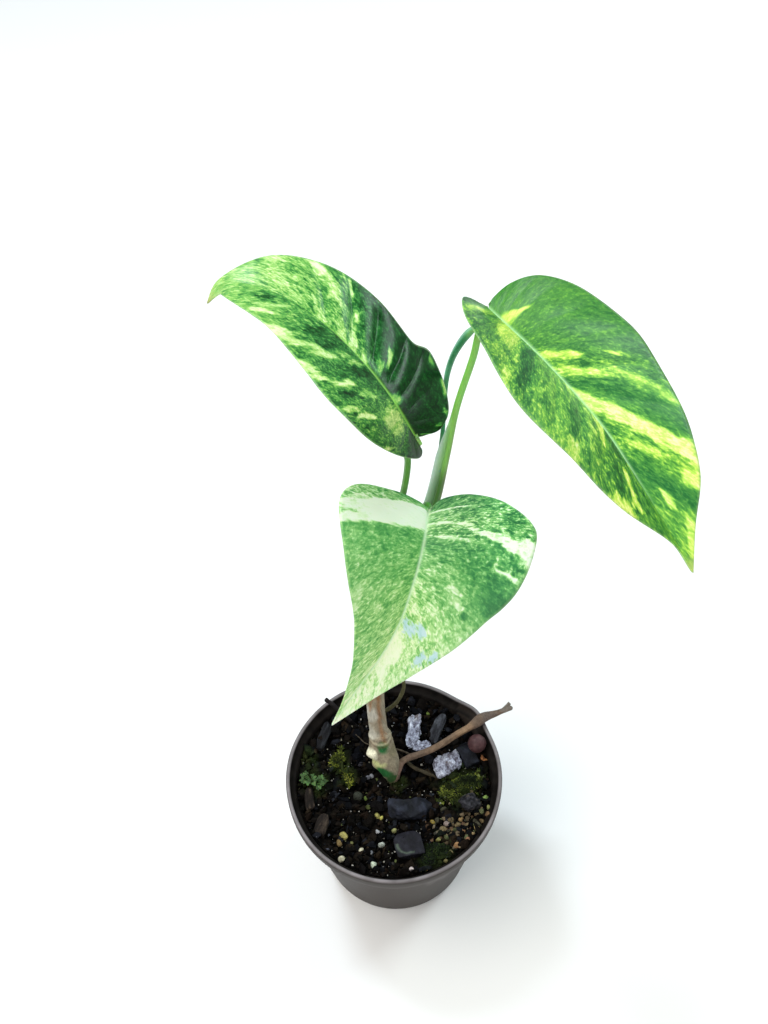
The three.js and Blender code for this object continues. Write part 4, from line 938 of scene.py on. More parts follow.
# The radius grows to its full width and closes to a point; the roll adds a cosine of twice the angle that
# turns slowly with the length.
def shootReach(along, angle, z):
    look = shootLook
    thin, full = look["radius"]
    body = mix(thin, full, smooth(along, *look["fullAt"]))
    rolled = look["roll"] * smooth(along, *look["rollFrom"]) * np.cos(2 * angle + look["rollTurn"] * along)
    return body + rolled - (full - look["point"]) * smooth(along, look["pointFrom"], 1)


points, faces, along, angle = tube(shootLook["path"], shootLook["rings"], shootLook["sides"], shootReach)
paintedHighlight, highlightShare, highlightSpread = shootLook["paintedHighlight"]
tint = painted(points, shootLook["colour"], shootLook["dabs"])
# The painted highlight along the back.
tint = laid(tint, paintedHighlight, highlightShare * bump(np.abs(angle), np.pi, highlightSpread))
makePiece("shoot_young", points, faces, petioleSkin, ["young_shoot"], tint)
print("petioles and shoot done")


# Cane: the old stem, with the rings of fallen leaves, a bud scar and the heel of the first root.
caneLook = {
    "path": [[-0.4, 2.4, 48], [-0.6, 3.2, 64], [-4.6, 12.2, 80], [-6, 17.2, 92], [-6.4, 21, 104],
             [-5.2, 27, 121], [-2.8, 31.6, 137], [-0.4, 35.2, 152]],
    "rings": 320, "sides": 72,
    "foot": 2.9, "swollen": 5, "radius": 3.7, "thinning": 0.7, "swells": (62, 73), "narrows": (80, 88),
    "thins": (104, 140), "closes": (149, 152), "closed": 0.45,
    "scars": [84, 112, 126, 140], "scarReach": 0.4, "scarSpread": 0.8, "scarTilt": 0.5,
    "ribs": 7, "ribDepth": 0.07, "ribSway": (0.6, 5),
    "swellings": [[-8.2, 9.0, 77.0, 2.5, 2.4], [-6.8, 6.2, 72.0, 1.6, 2.4]],  # x, y, z, reach, spread
    "grain": 0.14, "colour": "#938974", "fibres": 0.25,
    "strand": ("#8c5f36", 0.6, 0.8),  # colour, share, most
    "strandFrom": (82, 86), "strandRange": (0.25, 0.7),
    "strandPatches": (0.75, 0.4), "strandLine": (1.4, 1.15, 0.24),  # one long line: strength, angle, spread
    "scarStripes": [("#c9c0a2", 0.5, 0, 0.5), ("#5b4a33", 0.5, -1.1, 0.45)],  # colour, strength, up, spread
    "hairs": [([[-7, 11, 78.5], [-11.1, 13.3, 76.5], [-14.2, 18.6, 71.5], [-16.4, 23.7, 65]], 0.22),
              ([[-3, 10.5, 74.5], [1.6, 12.4, 71.4], [5.2, 11.9, 69.6], [7.9, 11.2, 67.9]], 0.55)],
    "hairTaper": 0.4, "hairKnots": (0.05, 30), "hairColour": "#4f463a",
    # Of the dabs, the two pale ones on the left flank, at x near -9.5, are painted light where the key light
    # falls, and the darker one at x -2.4 on the right is painted shade.
    "dabs": [(-6, 15, 92, 14, "#9d937f", 0.8), (-2.4, 18, 90, 2.6, "#6f6555", 0.6),
             (-9.5, 17, 98, 5.5, "#b9b5a8", 0.9), (-9.3, 13, 88, 4.5, "#b5b1a2", 0.9),
             (0, 9, 78, 4.2, "#8a8268", 0.9), (-8.6, 8.2, 77.6, 3.5, "#f0ecd0", 1),
             (-8.4, 6.6, 74.6, 2.2, "#d3d79a", 0.9), (-5.2, 4.8, 73.6, 3.2, "#bfc488", 0.95),
             (-4.2, 8.2, 82.4, 3, "#2c6a3a", 1), (-3.8, 2.6, 70.4, 4, "#2c6a38", 1),
             (-0.6, 1.2, 68, 3.6, "#2f5c2c", 0.95), (-1, 2, 64, 4, "#3c4a22", 0.9)],
}
# An aroid cane: dry, tan, cork-like skin in long fibres, matt.
caneSkin = naturalMaterial("aged cane", {
    "roughness": 0.72, "cell": 1.4, "fine": 0.5, "stretch": 6, "range": (0.72, 1.22), "relief": 0.22})


# The radius by height: it swells at the node, narrows above it and thins upwards, with a bell at each leaf
# scar and seven shallow ribs that sway.
def caneReach(along, angle, z):
    look = caneLook
    foot = mix(look["foot"], look["swollen"], smooth(z, *look["swells"]))
    body = mix(foot, look["radius"], smooth(z, *look["narrows"]))
    body = body - look["thinning"] * smooth(z, *look["thins"])
    for height in look["scars"]:
        ring = z + look["scarTilt"] * np.sin(angle + height)
        body = body + look["scarReach"] * bump(ring, height, look["scarSpread"])
    sway, swayLength = look["ribSway"]
    ribs = look["ribDepth"] * np.cos(look["ribs"] * angle + sway * np.sin(z / swayLength))
    return body * (1 - look["closed"] * smooth(z, *look["closes"])) + ribs


# The stem, pushed away from its axis by the swellings, which are bells round their middles, and by the grain.
# Its colour: dabs, fibres of noise stretched upwards, red-brown strands, and two stripes at each leaf scar.
def makeCane():
    look = caneLook
    points, faces, along, angle = tube(look["path"], look["rings"], look["sides"], caneReach)
    away = unit(points - curveAt(look["path"], along)[0])
    for x, y, z, reach, spread in look["swellings"]:
        push = reach * bump(np.linalg.norm(points - [x, y, z], axis=1), 0, spread)
        points = points + away * push[:, None]
    grain = layered(points * [1, 1, 0.2], 1.3, 4)
    points = points + away * (look["grain"] * grain)[:, None]
    tint = painted(points, look["colour"], look["dabs"], 2)
    tint = tint * (1 + look["fibres"] * layered(points * [1, 1, 0.14], 1.1, 8))[:, None]
    shade, share, most = look["strand"]
    line, lineAngle, lineSpread = look["strandLine"]
    strands = smooth(noise(points * [1, 1, 0.08], 1.5, 15), *look["strandRange"])
    strands = strands + line * bump(angle + 0.1 * grain, lineAngle, lineSpread)
    mean, swing = look["strandPatches"]
    strands = strands * smooth(points[:, 2], *look["strandFrom"]) * (mean + swing * noise(points, 4, 3))
    tint = laid(tint, shade, np.clip(share * strands, 0, most))
    for height in look["scars"]:
        for shade, strength, above, spread in look["scarStripes"]:
            tint = laid(tint, shade, strength * bump(points[:, 2], height + above, spread))
    shells = [(points, faces, tint)]
    knot, knots = look["hairKnots"]
    for hairPath, thick in look["hairs"]:  # a hair root at the bud and a dry stub
        points, faces, *_ = tube(hairPath, 60, 12, lambda along, angle, z: (
            thick * (1 - look["hairTaper"] * along) + knot * np.cos(knots * along)))
        shells.append((points, faces, painted(points, look["hairColour"])))
    return joined(*shells)


points, faces, tint = makeCane()
makePiece("cane_stem", points, faces, caneSkin, ["cane"], tint)


# Roots: the old aerial root over the rim, thin ones in the soil, and the twig.
# A dry aerial root: brown-grey, papery and wrinkled along its length, matt.
rootSkin = naturalMaterial("dry root", {
    "roughness": 0.8, "cell": 1.6, "fine": 0.45, "range": (0.7, 1.25), "relief": 0.2})
dryLook = {
    "path": [[0.2, 2.2, 62.5], [1.2, 2.1, 65.9], [1.8, 4, 68.4], [3.4, 6.8, 70.4], [6.4, 8.5, 71.4],
             [10.2, 9.2, 72.3], [16.2, 11, 72.8], [25.8, 16.2, 73.9], [33.2, 20, 74.7], [39.3, 23.9, 75.5],
             [45.4, 25.4, 76.2], [51.7, 27.1, 77.3]],
    "radius": 1.35, "swells": [(0.9, 0.77, 0.07), (0.25, 0.13, 0.03)],  # height, place, spread
    "ridges": [(0.12, 3, 22), (0.07, 5, -31)],  # depth, ridges round, turn along
    "thinned": 0.35, "thinnedFrom": 0.8, "wrinkle": (0.16, 2.2),
    "fork": [[46.6, 25.9, 76.2], [49, 27.6, 77.2], [50.6, 29, 77.9]],
    "forkRadius": 0.8, "forkRidges": (0.08, 3),
    "colour": "#6b5a4d", "forkColour": "#7b7168",
    "dabs": [(4, 4.6, 67.5, 4, "#7e6258", 0.8), (20, 12.6, 73.4, 8, "#755f4c", 0.7),
             (30, 18, 75.8, 6, "#92755a", 0.7), (41, 23.4, 78, 4.5, "#665b54", 0.9),
             (50, 27, 80, 5, "#776e66", 0.8)],
}


# The radius: even, with a bell where the fork leaves and one near the foot, and ridges, which are cosines of
# the angle that turn along the length.
def dryReach(along, angle, z):
    look = dryLook
    swell = sum(height * bump(along, place, spread) for height, place, spread in look["swells"])
    ridges = sum(deep * np.cos(count * angle + turn * along) for deep, count, turn in look["ridges"])
    return look["radius"] + swell - look["thinned"] * smooth(along, look["thinnedFrom"], 1) + ridges


# The root and its short fork, wrinkled by noise along a direction that is noise too.
def makeDryRoot():
    look = dryLook
    points, faces, *_ = tube(look["path"], 260, 40, dryReach)
    deep, count = look["forkRidges"]
    forkPoints, forkFaces, *_ = tube(look["fork"], 50, 24, lambda along, angle, z: (
        look["forkRadius"] + deep * np.cos(count * angle)))
    points, faces, tint = joined(
        (points, faces, painted(points, look["colour"], look["dabs"])),
        (forkPoints, forkFaces, painted(forkPoints, look["forkColour"])))
    height, cell = look["wrinkle"]
    way = unit(noise(points[:, None] + [[0, 0, 0], [30, 0, 0], [0, 40, 0]], 3))
    return points + height * layered(points, cell, 6)[:, None] * way, faces, tint


points, faces, tint = makeDryRoot()
makePiece("root_over_rim", points, faces, rootSkin, ["aerial_root_dry"], tint)

thinRoots = {
    "root_thin": {
        "path": [[3.2, 11.6, 61], [5.1, 9.7, 66], [7.9, 6.6, 66.9], [12, 4.3, 66.6], [17, 2.5, 65.4],
                 [19.6, 2.2, 62.2]],
        "radius": (0.75, 0.75), "tint": "#3f392c", "slot": "root"},
    "root_olive": {
        "path": [[-3.8, 25, 115], [0.6, 28.2, 110.5], [4.4, 29.2, 106], [5.6, 26.5, 102.9], [4.9, 24.9, 99.3],
                 [3, 23.7, 94.7], [0.4, 23, 90.6], [-2.4, 22.4, 87.7], [-3, 24.4, 76], [-2.6, 27, 60]],
        "radius": (0.8, 0.8), "tint": "#4f4c33", "slot": "root"},
    "twig_dark": {
        "path": [[-28.1, 34.2, 77.4], [-24, 32.2, 73.6], [-15.5, 28.2, 62]],
        "radius": (0.9, 0.8), "tint": "#211d1e", "slot": "bark"},
}
thinRule = {"rings": 130, "sides": 24, "ridges": (0.08, 3, 25), "knots": (0.06, 40), "mottle": 0.25}


# The radius goes evenly from one end's to the other's, with turning ridges and small knots, both cosines.
def makeThinRoot(name, look):
    rule = thinRule
    deep, count, turn = rule["ridges"]
    knot, knots = rule["knots"]
    points, faces, *_ = tube(look["path"], rule["rings"], rule["sides"], lambda along, angle, z: (
        mix(*look["radius"], along) + deep * np.cos(count * angle + turn * along)
        + knot * np.sin(knots * along)))
    tint = painted(points, look["tint"]) * (1 + rule["mottle"] * layered(points, 2, 9))[:, None]
    makePiece(f"{name}_piece", points, faces, rootSkin, [name], tint)


for name, look in thinRoots.items():
    makeThinRoot(name, look)
print("cane and roots done")


# Pot: thin moulded plastic, with a rolled lip that the old root has pushed out on one side.
potLook = {
    "height": 72.8, "rim": 45, "base": 32.6, "wall": 0.9, "floor": 1.6, "sides": 288,
    "lipHeight": 5.2, "lipReach": 2.2, "lipWall": 1.7,
    "foot": [(1.2, 0), (0.35, 0.35), (0, 1.2)],  # the rounding under the wall: mm in, mm up
    "wallFrom": 3, "wallSteps": 60, "flare": (-16, 3),  # mm from the lip's lower edge
    # mm in from the lip's face, mm down from its top
    "lipOuter": [(0, 0.8), (0.2, 0.25), (0.6, 0)], "lipInner": [(0.5, 0), (0.1, 0.25), (0, 0.8)],
    "ledge": (1.6, 0.4, 0.7), "innerSteps": (0.5, 18), "floorRing": 12,
    "holes": 6, "holeRadius": 3.5, "holeRing": 23, "holeSides": 40, "holeDepth": 10,
    "dent": {"angle": 38, "spread": 9, "reach": 2.1, "from": 50},
    "bends": [(0.12, 3, 1, 10), (0.06, 7, 0, 40)],  # reach, waves round, shift, height they start at
    "colour": "#36302c", "lip": "#8a8486", "dust": "#6a6364", "inside": "#0e0c0b",
    "darkInside": (0.8, 0.35), "lipEdge": (0.5, 0.1), "lipHighlightAndWear": (0.7, 0.4), "streaks": 0.12,
    # x, y, z, reach, strength
    "smudges": [(18, -34, 50, 9, 0.65), (27, -28, 47, 7, 0.6), (10, -37, 56, 6, 0.3)],
    "smudgeWave": 0.4, "smudgeFade": (0.3, 1),
}


def potInner(z):  # the wall's inner radius, a straight line from the base to under the lip
    look = potLook
    return mix(look["base"], look["rim"] - look["lipReach"], z / look["height"]) - look["wall"]


# Half the section from the middle of the underside, up the outside, over the lip and down to the floor's
# middle.
def potProfile():
    look = potLook
    top, under = look["height"], look["height"] - look["lipHeight"]
    rim, lipInner = look["rim"], look["rim"] - look["lipWall"]
    flareFrom, flareTo = (under + way for way in look["flare"])
    rise, inwards, ledge = look["ledge"]
    drop, innerSteps = look["innerSteps"]
    wall = [[mix(potInner(z) + look["wall"], rim, smooth(z, flareFrom, flareTo)), z]
            for z in np.linspace(look["wallFrom"], flareTo, look["wallSteps"])]
    return np.array(
        [[0, 0], [look["floorRing"], 0], [look["holeRing"], 0]]
        + [[look["base"] - inside, up] for inside, up in look["foot"]] + wall
        + [[rim - inside, top - down] for inside, down in look["lipOuter"]]
        + [[lipInner + outside, top - down] for outside, down in look["lipInner"]]
        + [[lipInner, under + rise], [potInner(under) + inwards, under + ledge]]
        + [[potInner(z), z] for z in np.linspace(under - drop, look["floor"], innerSteps)]
        + [[look["floorRing"], look["floor"]], [0, look["floor"]]])


# The profile turned round Z. The wall is pushed out at the dent, a bell of the angle that grows with the
# height, and bent a little out of round by two sines. Inside it is painted near black in noisy patches, and
# the lip's top edge is painted pale: wear, and a painted highlight along the rim.
def makePot():
    look = potLook
    sides = look["sides"]
    top, under = look["height"], look["height"] - look["lipHeight"]
    lipInner = look["rim"] - look["lipWall"]
    profile = potProfile()
    turn = np.arange(sides) / sides * 2 * np.pi
    r, z = profile[:, 0][:, None], np.repeat(profile[:, 1][:, None], sides, 1)
    dent = look["dent"]
    degrees = np.degrees(np.where(turn > np.pi, turn - 2 * np.pi, turn))[None]
    push = dent["reach"] * bump(degrees, dent["angle"], dent["spread"]) * smooth(z, dent["from"], top)
    for reach, waves, shift, start in look["bends"]:
        push = push + reach * np.sin(waves * turn + shift)[None] * smooth(z, start, top)
    radius = np.where(r > 1, r + push, r)
    points = np.stack([radius * np.cos(turn), radius * np.sin(turn), z], -1).reshape(-1, 3)
    faces = outward(points, gridFaces(len(profile), sides, wrapped=True))
    height = points[:, 2]
    out = np.hypot(points[:, 0], points[:, 1]) - np.repeat(push.mean(axis=1), sides)
    middle = np.where(height > under, lipInner + 0.35, potInner(height) + 0.45)
    inside = (out < middle) & (height > 1)
    # Inside the wall and on the floor the colour is painted near black in noisy patches.
    mean, swing = look["darkInside"]
    darkInside = np.clip(mean + swing * layered(points, 2.4, 3), 0, 1) * inside
    tint = laid(plain(len(points), look["colour"]), look["inside"], darkInside)
    # The top half millimetre of the lip is painted pale: partly wear, partly a painted highlight along the
    # rim's edge.
    low, high = look["lipEdge"]
    mean, swing = look["lipHighlightAndWear"]
    highlightAndWear = smooth(height, top - low, top - high) * (mean + swing * layered(points, 5, 4))
    tint = laid(tint, look["lip"], np.clip(highlightAndWear, 0, 1))
    tint = tint * (1 + look["streaks"] * layered(points * [1, 1, 0.35], 9, 12))[:, None]
    for x, y, z, reach, strength in look["smudges"]:
        near = np.linalg.norm((points - [x, y, z]) * [1, 1, 0.8], axis=1) / reach
        near = near + look["smudgeWave"] * noise(points, 3, 5)
        tint = laid(tint, look["dust"], strength * (1 - smooth(near, *look["smudgeFade"])))
    return points, faces, tint


# Cuts the drain holes, evenly round a circle, with an exact boolean that leaves plain mesh behind.
def drillHoles(piece):
    look = potLook
    drill = bmesh.new()
    ring, radius = look["holeRing"] * toMetres, look["holeRadius"] * toMetres
    for i in range(look["holes"]):
        turn = i / look["holes"] * 2 * np.pi
        at = Matrix.Translation((ring * math.cos(turn), ring * math.sin(turn), 0))
        bmesh.ops.create_cone(drill, cap_ends=True, segments=look["holeSides"], radius1=radius,
                              radius2=radius, depth=look["holeDepth"] * toMetres, matrix=at)
    drillMesh = bpy.data.meshes.new("drill")
    drill.to_mesh(drillMesh)
    drill.free()
    drillObject = bpy.data.objects.new("drill", drillMesh)
    bpy.context.scene.collection.objects.link(drillObject)
    cut = piece.modifiers.new("drain holes", "BOOLEAN")
    cut.operation, cut.solver, cut.object = "DIFFERENCE", "EXACT", drillObject
    bpy.context.view_layer.update()
    drilled = bpy.data.meshes.new_from_object(piece.evaluated_get(bpy.context.evaluated_depsgraph_get()))
    piece.modifiers.clear()
    piece.data = drilled
    bpy.data.objects.remove(drillObject)
    print("drain holes cut:", len(drilled.polygons), "faces")


# Moulded polypropylene: matt, finely pebbled, a little worn and dusty, so that the highlights are wide and
# soft.
potSkin = naturalMaterial("moulded plastic", {
    "roughness": 0.48, "ior": 1.49, "cell": 5, "fine": 0.5, "range": (0.93, 1.07), "relief": 0.03,
    "shine": 0.15})
points, faces, tint = makePot()
drillHoles(makePiece("pot_shell", points, faces, potSkin, ["pot"], tint))


# Soil: a crumbly top over a plain filling, with grit, husks and specks of moss in it.
soilLook = {
    "level": 64, "grid": 190, "bottom": 50, "gap": (0.25, 0.3),
    "lumps": 0.7, "ripples": 0.5, "dimples": 0.3, "edge": (32, 41), "edgeFlat": 0.6, "edgeDrop": 0.5,
    "bank": (36, 40.5), "bankHeight": (1.8, 4.4), "bankFront": (5, 32),
    "rough": (1.2, 3.2), "fine": (0.45, 1.0), "sunk": 0.8, "patch": 1.4,
    "shades": ["#040303", "#080706", "#0c0a08", "#120e0b", "#1a130e", "#0a0b0e"],
    "looseReach": 40.3, "looseSkew": 2.5, "looseBright": 0.25,
    # loose bits: ball level, how many, smallest, largest, stretch, how far they stand out, dents, and
    # colours, where None is the soil's own
    "loose": [
        (1, 2400, 0.4, 2.2, (0.4, 1.2), 0.2, 0.95, None),
        (1, 900, 0.7, 3.0, (0.18, 1.25), 0.25, 0.8,
         ["#110e0c", "#19140f", "#0d0b0b", "#241d15", "#15161a", "#0b0c10", "#1c1d22"]),
        (2, 150, 0.35, 1.0, (0.5, 1.0), 0.35, 0.7,
         ["#45413c", "#2f2d2c", "#5c564a", "#4f4c3c", "#3b3d45", "#6a6558", "#4a5230", "#59603a"]),
        (1, 520, 0.16, 0.5, (0.5, 1.1), 0.9, 0.6,
         ["#77736b", "#9c988e", "#5c5d63", "#6f6f52", "#b0aca3"]),
    ],
    # a bed of grit in front on the right
    "bed": {"count": 230, "x": (26, 6), "y": (-21, 7), "within": 39.5, "size": (0.5, 1.2),
            "stretch": (0.6, 1.05), "up": 0.4, "dents": 0.35, "light": (0.35, 1.1),
            "shades": ["#5f523f", "#6f6148", "#555049", "#4c4a3d", "#7a6c56", "#66503f", "#3f3d36", "#8a7e6a",
                       "#5f6446"]},
    "grit": {"size": 0.72, "stretch": (0.75, 1.1), "up": 0.5, "dents": 0.3, "mottle": (0.3, 1.2)},
    # pale husks that stand on end like drops, some of them on the charcoal lump (x, y, half widths)
    "husks": {"count": 50, "reach": 38, "size": [0.34, 0.34, 0.75], "stretch": (0.6, 1.1), "up": 1.1,
              "dents": 0.15, "lump": (6.8, -12, 9.6, 4.5), "lumpShare": 0.75, "lumpHeight": 2.6,
              "shades": ["#8e8b86", "#a9a69f", "#6d6c70"]},
    "green": ("#2f3d18", 0.5, 0.6, 0.7), "greenWave": (0.5, 2.2), "greenFade": (0.4, 1.1),
    # painted shade in the hollows: the darkest and the lightest factor, and the heights over the even top
    # between them
    "hollowShade": (0.25, 1.1), "hollowShadeRange": (-1.4, 0.9),
}
# x, y, size, colour: the grit that stands out
grit = [
    (16.2, 32.1, 1.6, "#67773a"), (-21.2, -21.7, 2.3, "#8d8550"), (-23.3, -25.1, 1.8, "#6e5c3d"),
    (-7.3, -14.0, 1.9, "#85804a"), (-5.7, -14.8, 1.6, "#a09a52"), (27.1, -16.4, 1.9, "#8b7350"),
    (33.1, -21.8, 1.8, "#9c8a5c"), (24.9, -28.3, 2.1, "#9a7754"), (29.1, -26.7, 1.5, "#84604a"),
    (27.8, -21.8, 1.4, "#8a6a4c"), (21.1, -18.7, 1.9, "#7e706a"), (17.3, -24.9, 1.5, "#7d7a4a"),
    (15.3, -17.7, 1.5, "#7a6a35"), (38.1, -16.1, 1.7, "#7b6247"), (20.8, -23.3, 1.6, "#75634c"),
    (22.1, -31.0, 1.4, "#8a7a5c"), (11.6, -38.0, 1.2, "#9a7a52"), (19.8, -35.4, 1.4, "#6f6446"),
    (-14.3, -27.9, 1.5, "#b9b49c"), (-9.4, -34.3, 2.0, "#aab3a0"), (-5.8, -26.5, 1.8, "#8d9188"),
    (-10.3, -29.1, 1.5, "#6a6c72"), (-7.5, -21.1, 1.3, "#9fa0a2"), (-0.6, -20.3, 1.6, "#77774f"),
    (-22.3, -33.1, 1.8, "#a8a48c"), (5.7, -37.8, 1.3, "#b5a8a4"), (-18.1, -25.0, 1.2, "#6b6b45"),
    (0.0, -13.9, 1.2, "#77745c"), (37.9, -8.1, 1.9, "#86a058"), (38.9, -12.9, 1.5, "#8a8c58"),
    (35.7, 1.6, 1.5, "#8d9563"), (38.0, 9.8, 1.6, "#9a6a48"), (39.2, 8.6, 1.2, "#b07a50"),
    (-10.7, 3.4, 1.6, "#5e5f66"), (-9.3, 4.1, 1.4, "#77787c"), (-14.1, 9.5, 1.7, "#35343a"),
    (-15.1, -5.4, 3.0, "#33352e"), (-11.9, -5.9, 1.3, "#4d5c2c"), (-11.0, -9.9, 1.5, "#3f4426"),
    (30.8, -19.4, 1.2, "#7c5a48"), (23.2, -20.6, 1.2, "#6e5b40"), (26.2, -24.0, 1.3, "#8c6c50"),
    (18.6, -21.6, 1.2, "#4d4a46"), (31.6, -24.2, 1.2, "#8f7b5a"), (35.4, -18.6, 1.3, "#6a5a42"),
]
husks = [
    (-3.8, -7.8), (2.7, -8.8), (7.2, -9.7), (9.7, -5.4), (11.6, -5.8), (13.5, -6.8), (19.0, -9.7),
    (15.4, -4.0), (11.4, 1.8), (7.2, 29.3), (0.1, 26.0), (-0.3, 22.9), (23.8, 31.8), (-21.5, -14.9),
    (-31.3, -13.8), (-3.5, -16.0), (-5.5, -35.5),
]
greening = [(-33, 1.5, 7), (28, -2.4, 11), (15.6, -31.4, 8), (-23, 10, 6), (-19.5, 3, 4), (2, 0, 5),
            (-36, 13, 4)]



# The height of the soil: three crossed waves that flatten towards the wall, and a bank against it that is
# higher in front.
def soilTop(x, y):
    look = soilLook
    lumps = look["lumps"] * np.sin(x / 4.1 + 1) * np.cos(y / 5.3) + look["ripples"] * np.sin((x + y) / 2.9)
    lumps = lumps + look["dimples"] * np.cos(x / 1.9 - y / 2.3)
    edge = smooth(np.hypot(x, y), *look["edge"])
    bank = smooth(np.hypot(x, y), *look["bank"]) * mix(*look["bankHeight"], smooth(-y, *look["bankFront"]))
    return look["level"] + lumps * (1 - look["edgeFlat"] * edge) - look["edgeDrop"] * edge + bank


def shadesOf(hexes, picks):  # the colour at each pick
    return np.array([linear(shade) for shade in hexes])[picks]


# The soil body: a square grid bent to a disc, so that its cells stay even, by x = u * sqrt(1 - v * v / 2) and
# y the other way round. Noise roughens the top; a skirt and a floor close it below.
def soilBody():
    look = soilLook
    grid, bottom = look["grid"], look["bottom"]
    topGap, bottomGap = look["gap"]
    side = np.linspace(-1, 1, grid)
    u, v = np.meshgrid(side, side, indexing="ij")
    x, y = u * np.sqrt(1 - v * v / 2), v * np.sqrt(1 - u * u / 2)
    inner = potInner(look["level"] + 4) - topGap
    x, y = x * inner, y * inner
    flat = np.stack([x, y, np.zeros_like(x)], -1)
    height, cell = look["rough"]
    fineHeight, fineCell = look["fine"]
    z = soilTop(x, y) + height * layered(flat, cell, 2) + fineHeight * np.abs(noise(flat, fineCell, 7))
    points = np.stack([x, y, z - look["sunk"]], -1).reshape(-1, 3)
    count = len(points)
    index = np.arange(count).reshape(grid, grid)
    loop = np.concatenate([index[0, :-1], index[:-1, -1], index[-1, :0:-1], index[:0:-1, 0]])
    under = (potInner(bottom) - bottomGap) / inner
    skirt = points[loop] * [under, under, 0] + [0, 0, bottom]
    points = np.concatenate([points, skirt, [[0, 0, bottom]]])
    low = np.arange(len(loop)) + count
    nextLoop, nextLow = np.roll(loop, -1), np.roll(low, -1)
    wall = np.concatenate([np.stack([loop, low, nextLow], -1), np.stack([loop, nextLow, nextLoop], -1)])
    floor = np.stack([low, np.full(len(loop), len(points) - 1), nextLow], -1)
    top = gridFaces(grid, grid)
    a, b, c = points[top[0]]
    if np.cross(b - a, c - a)[2] < 0:
        top = top[:, ::-1]
    faces = outward(points, np.concatenate([top, wall, floor]))
    shades = look["shades"]
    picks = ((noise(points, look["patch"], 3) + 1) / 2 * len(shades)).astype(int)
    return points, faces, shadesOf(shades, np.clip(picks, 0, len(shades) - 1))


def spread(draw, count, reach):  # places even over a disc: the reach times the square root of an even draw
    way, out = draw.uniform(0, 2 * np.pi, count), reach * np.sqrt(draw.uniform(0, 1, count))
    return out * np.cos(way), out * np.sin(way)


# Loose bits: sizes from the smallest to the largest by an even draw to the power looseSkew, so that most are
# small, each stretched, coloured and lit by draws of its own.
def looseBits(draw, level, count, small, large, stretch, up, dents, shades):
    look = soilLook
    shades = shades or look["shades"]
    template = ball(level)
    x, y = spread(draw, count, look["looseReach"])
    size = small + (large - small) * draw.uniform(0, 1, count) ** look["looseSkew"]
    sizes = size[:, None] * draw.uniform(*stretch, (count, 3))
    centres = np.stack([x, y, soilTop(x, y) + size * up], -1)
    points, faces = scattered(template, centres, sizes, draw, dents)
    picks = draw.integers(0, len(shades), count)
    bright = look["looseBright"]
    colour = shadesOf(shades, picks) * draw.uniform(1 - bright, 1 + bright, (count, 1))
    return points, faces, np.repeat(colour, len(template[0]), axis=0)


def gritBed(draw):  # grains drawn round one spot by bells in x and y, kept where they lie inside the wall
    look = soilLook["bed"]
    template = ball(2)
    x, y = draw.normal(*look["x"], look["count"]), draw.normal(*look["y"], look["count"])
    near = np.hypot(x, y) < look["within"]
    x, y = x[near], y[near]
    least, more = look["size"]
    size = least + more * draw.uniform(0, 1, len(x)) ** 2
    centres = np.stack([x, y, soilTop(x, y) + look["up"] * size], -1)
    sizes = size[:, None] * draw.uniform(*look["stretch"], (len(x), 3))
    points, faces = scattered(template, centres, sizes, draw, look["dents"])
    colour = shadesOf(look["shades"], draw.integers(0, len(look["shades"]), len(x)))
    colour = colour * draw.uniform(*look["light"], (len(x), 1))
    return points, faces, np.repeat(colour, len(template[0]), axis=0)


def placedGrit(draw):  # the grit that stands out, each at its place, mottled by noise
    look = soilLook["grit"]
    template = ball(3)
    x, y, size = np.array([(x, y, size) for x, y, size, _ in grit]).T
    sizes = size[:, None] * look["size"] * draw.uniform(*look["stretch"], (len(grit), 3))
    centres = np.stack([x, y, soilTop(x, y) + look["up"] * size], -1)
    points, faces = scattered(template, centres, sizes, draw, look["dents"])
    colours = shadesOf([shade for *_, shade in grit], np.arange(len(grit)))
    mottle, cell = look["mottle"]
    light = 1 + mottle * layered(points, cell, 4)
    return points, faces, np.repeat(colours, len(template[0]), axis=0) * light[:, None]


def standingHusks(draw):  # tall balls, raised where they stand inside the ellipse of the charcoal lump
    look = soilLook["husks"]
    template = ball(2)
    x, y = spread(draw, look["count"], look["reach"])
    x, y = (np.append(drawn, [husk[k] for husk in husks]) for k, drawn in enumerate((x, y)))
    sizes = np.array(look["size"]) * draw.uniform(*look["stretch"], (len(x), 1))
    lumpX, lumpY, wide, deep = look["lump"]
    onLump = ((x - lumpX) / wide) ** 2 + ((y - lumpY) / deep) ** 2 < look["lumpShare"]
    centres = np.stack([x, y, soilTop(x, y) + look["up"] + look["lumpHeight"] * onLump], -1)
    points, faces = scattered(template, centres, sizes, draw, look["dents"], upright=True)
    colour = shadesOf(look["shades"], draw.integers(0, len(look["shades"]), len(x)))
    return points, faces, np.repeat(colour, len(template[0]), axis=0)


# All of it as one shell, greened in round patches, and darkened in the hollows as painted shade: the colour
# times a light that grows with the height over the soil's even top.
def makeSoil():
    look = soilLook
    draw = np.random.default_rng(5)
    shells = [soilBody()] + [looseBits(draw, *bits) for bits in look["loose"]]
    points, faces, tint = joined(*shells, gritBed(draw), placedGrit(draw), standingHusks(draw))
    shade, kept, added, strength = look["green"]
    wave, cell = look["greenWave"]
    for x, y, reach in greening:
        near = np.hypot(points[:, 0] - x, points[:, 1] - y) / reach + wave * noise(points, cell, 6)
        green = strength * (1 - smooth(near, *look["greenFade"]))
        tint = mix(tint, tint * kept + linear(shade) * added, green[:, None])
    height = points[:, 2] - soilTop(points[:, 0], points[:, 1])
    return points, faces, tint * mix(*look["hollowShade"], smooth(height, *look["hollowShadeRange"]))[:, None]


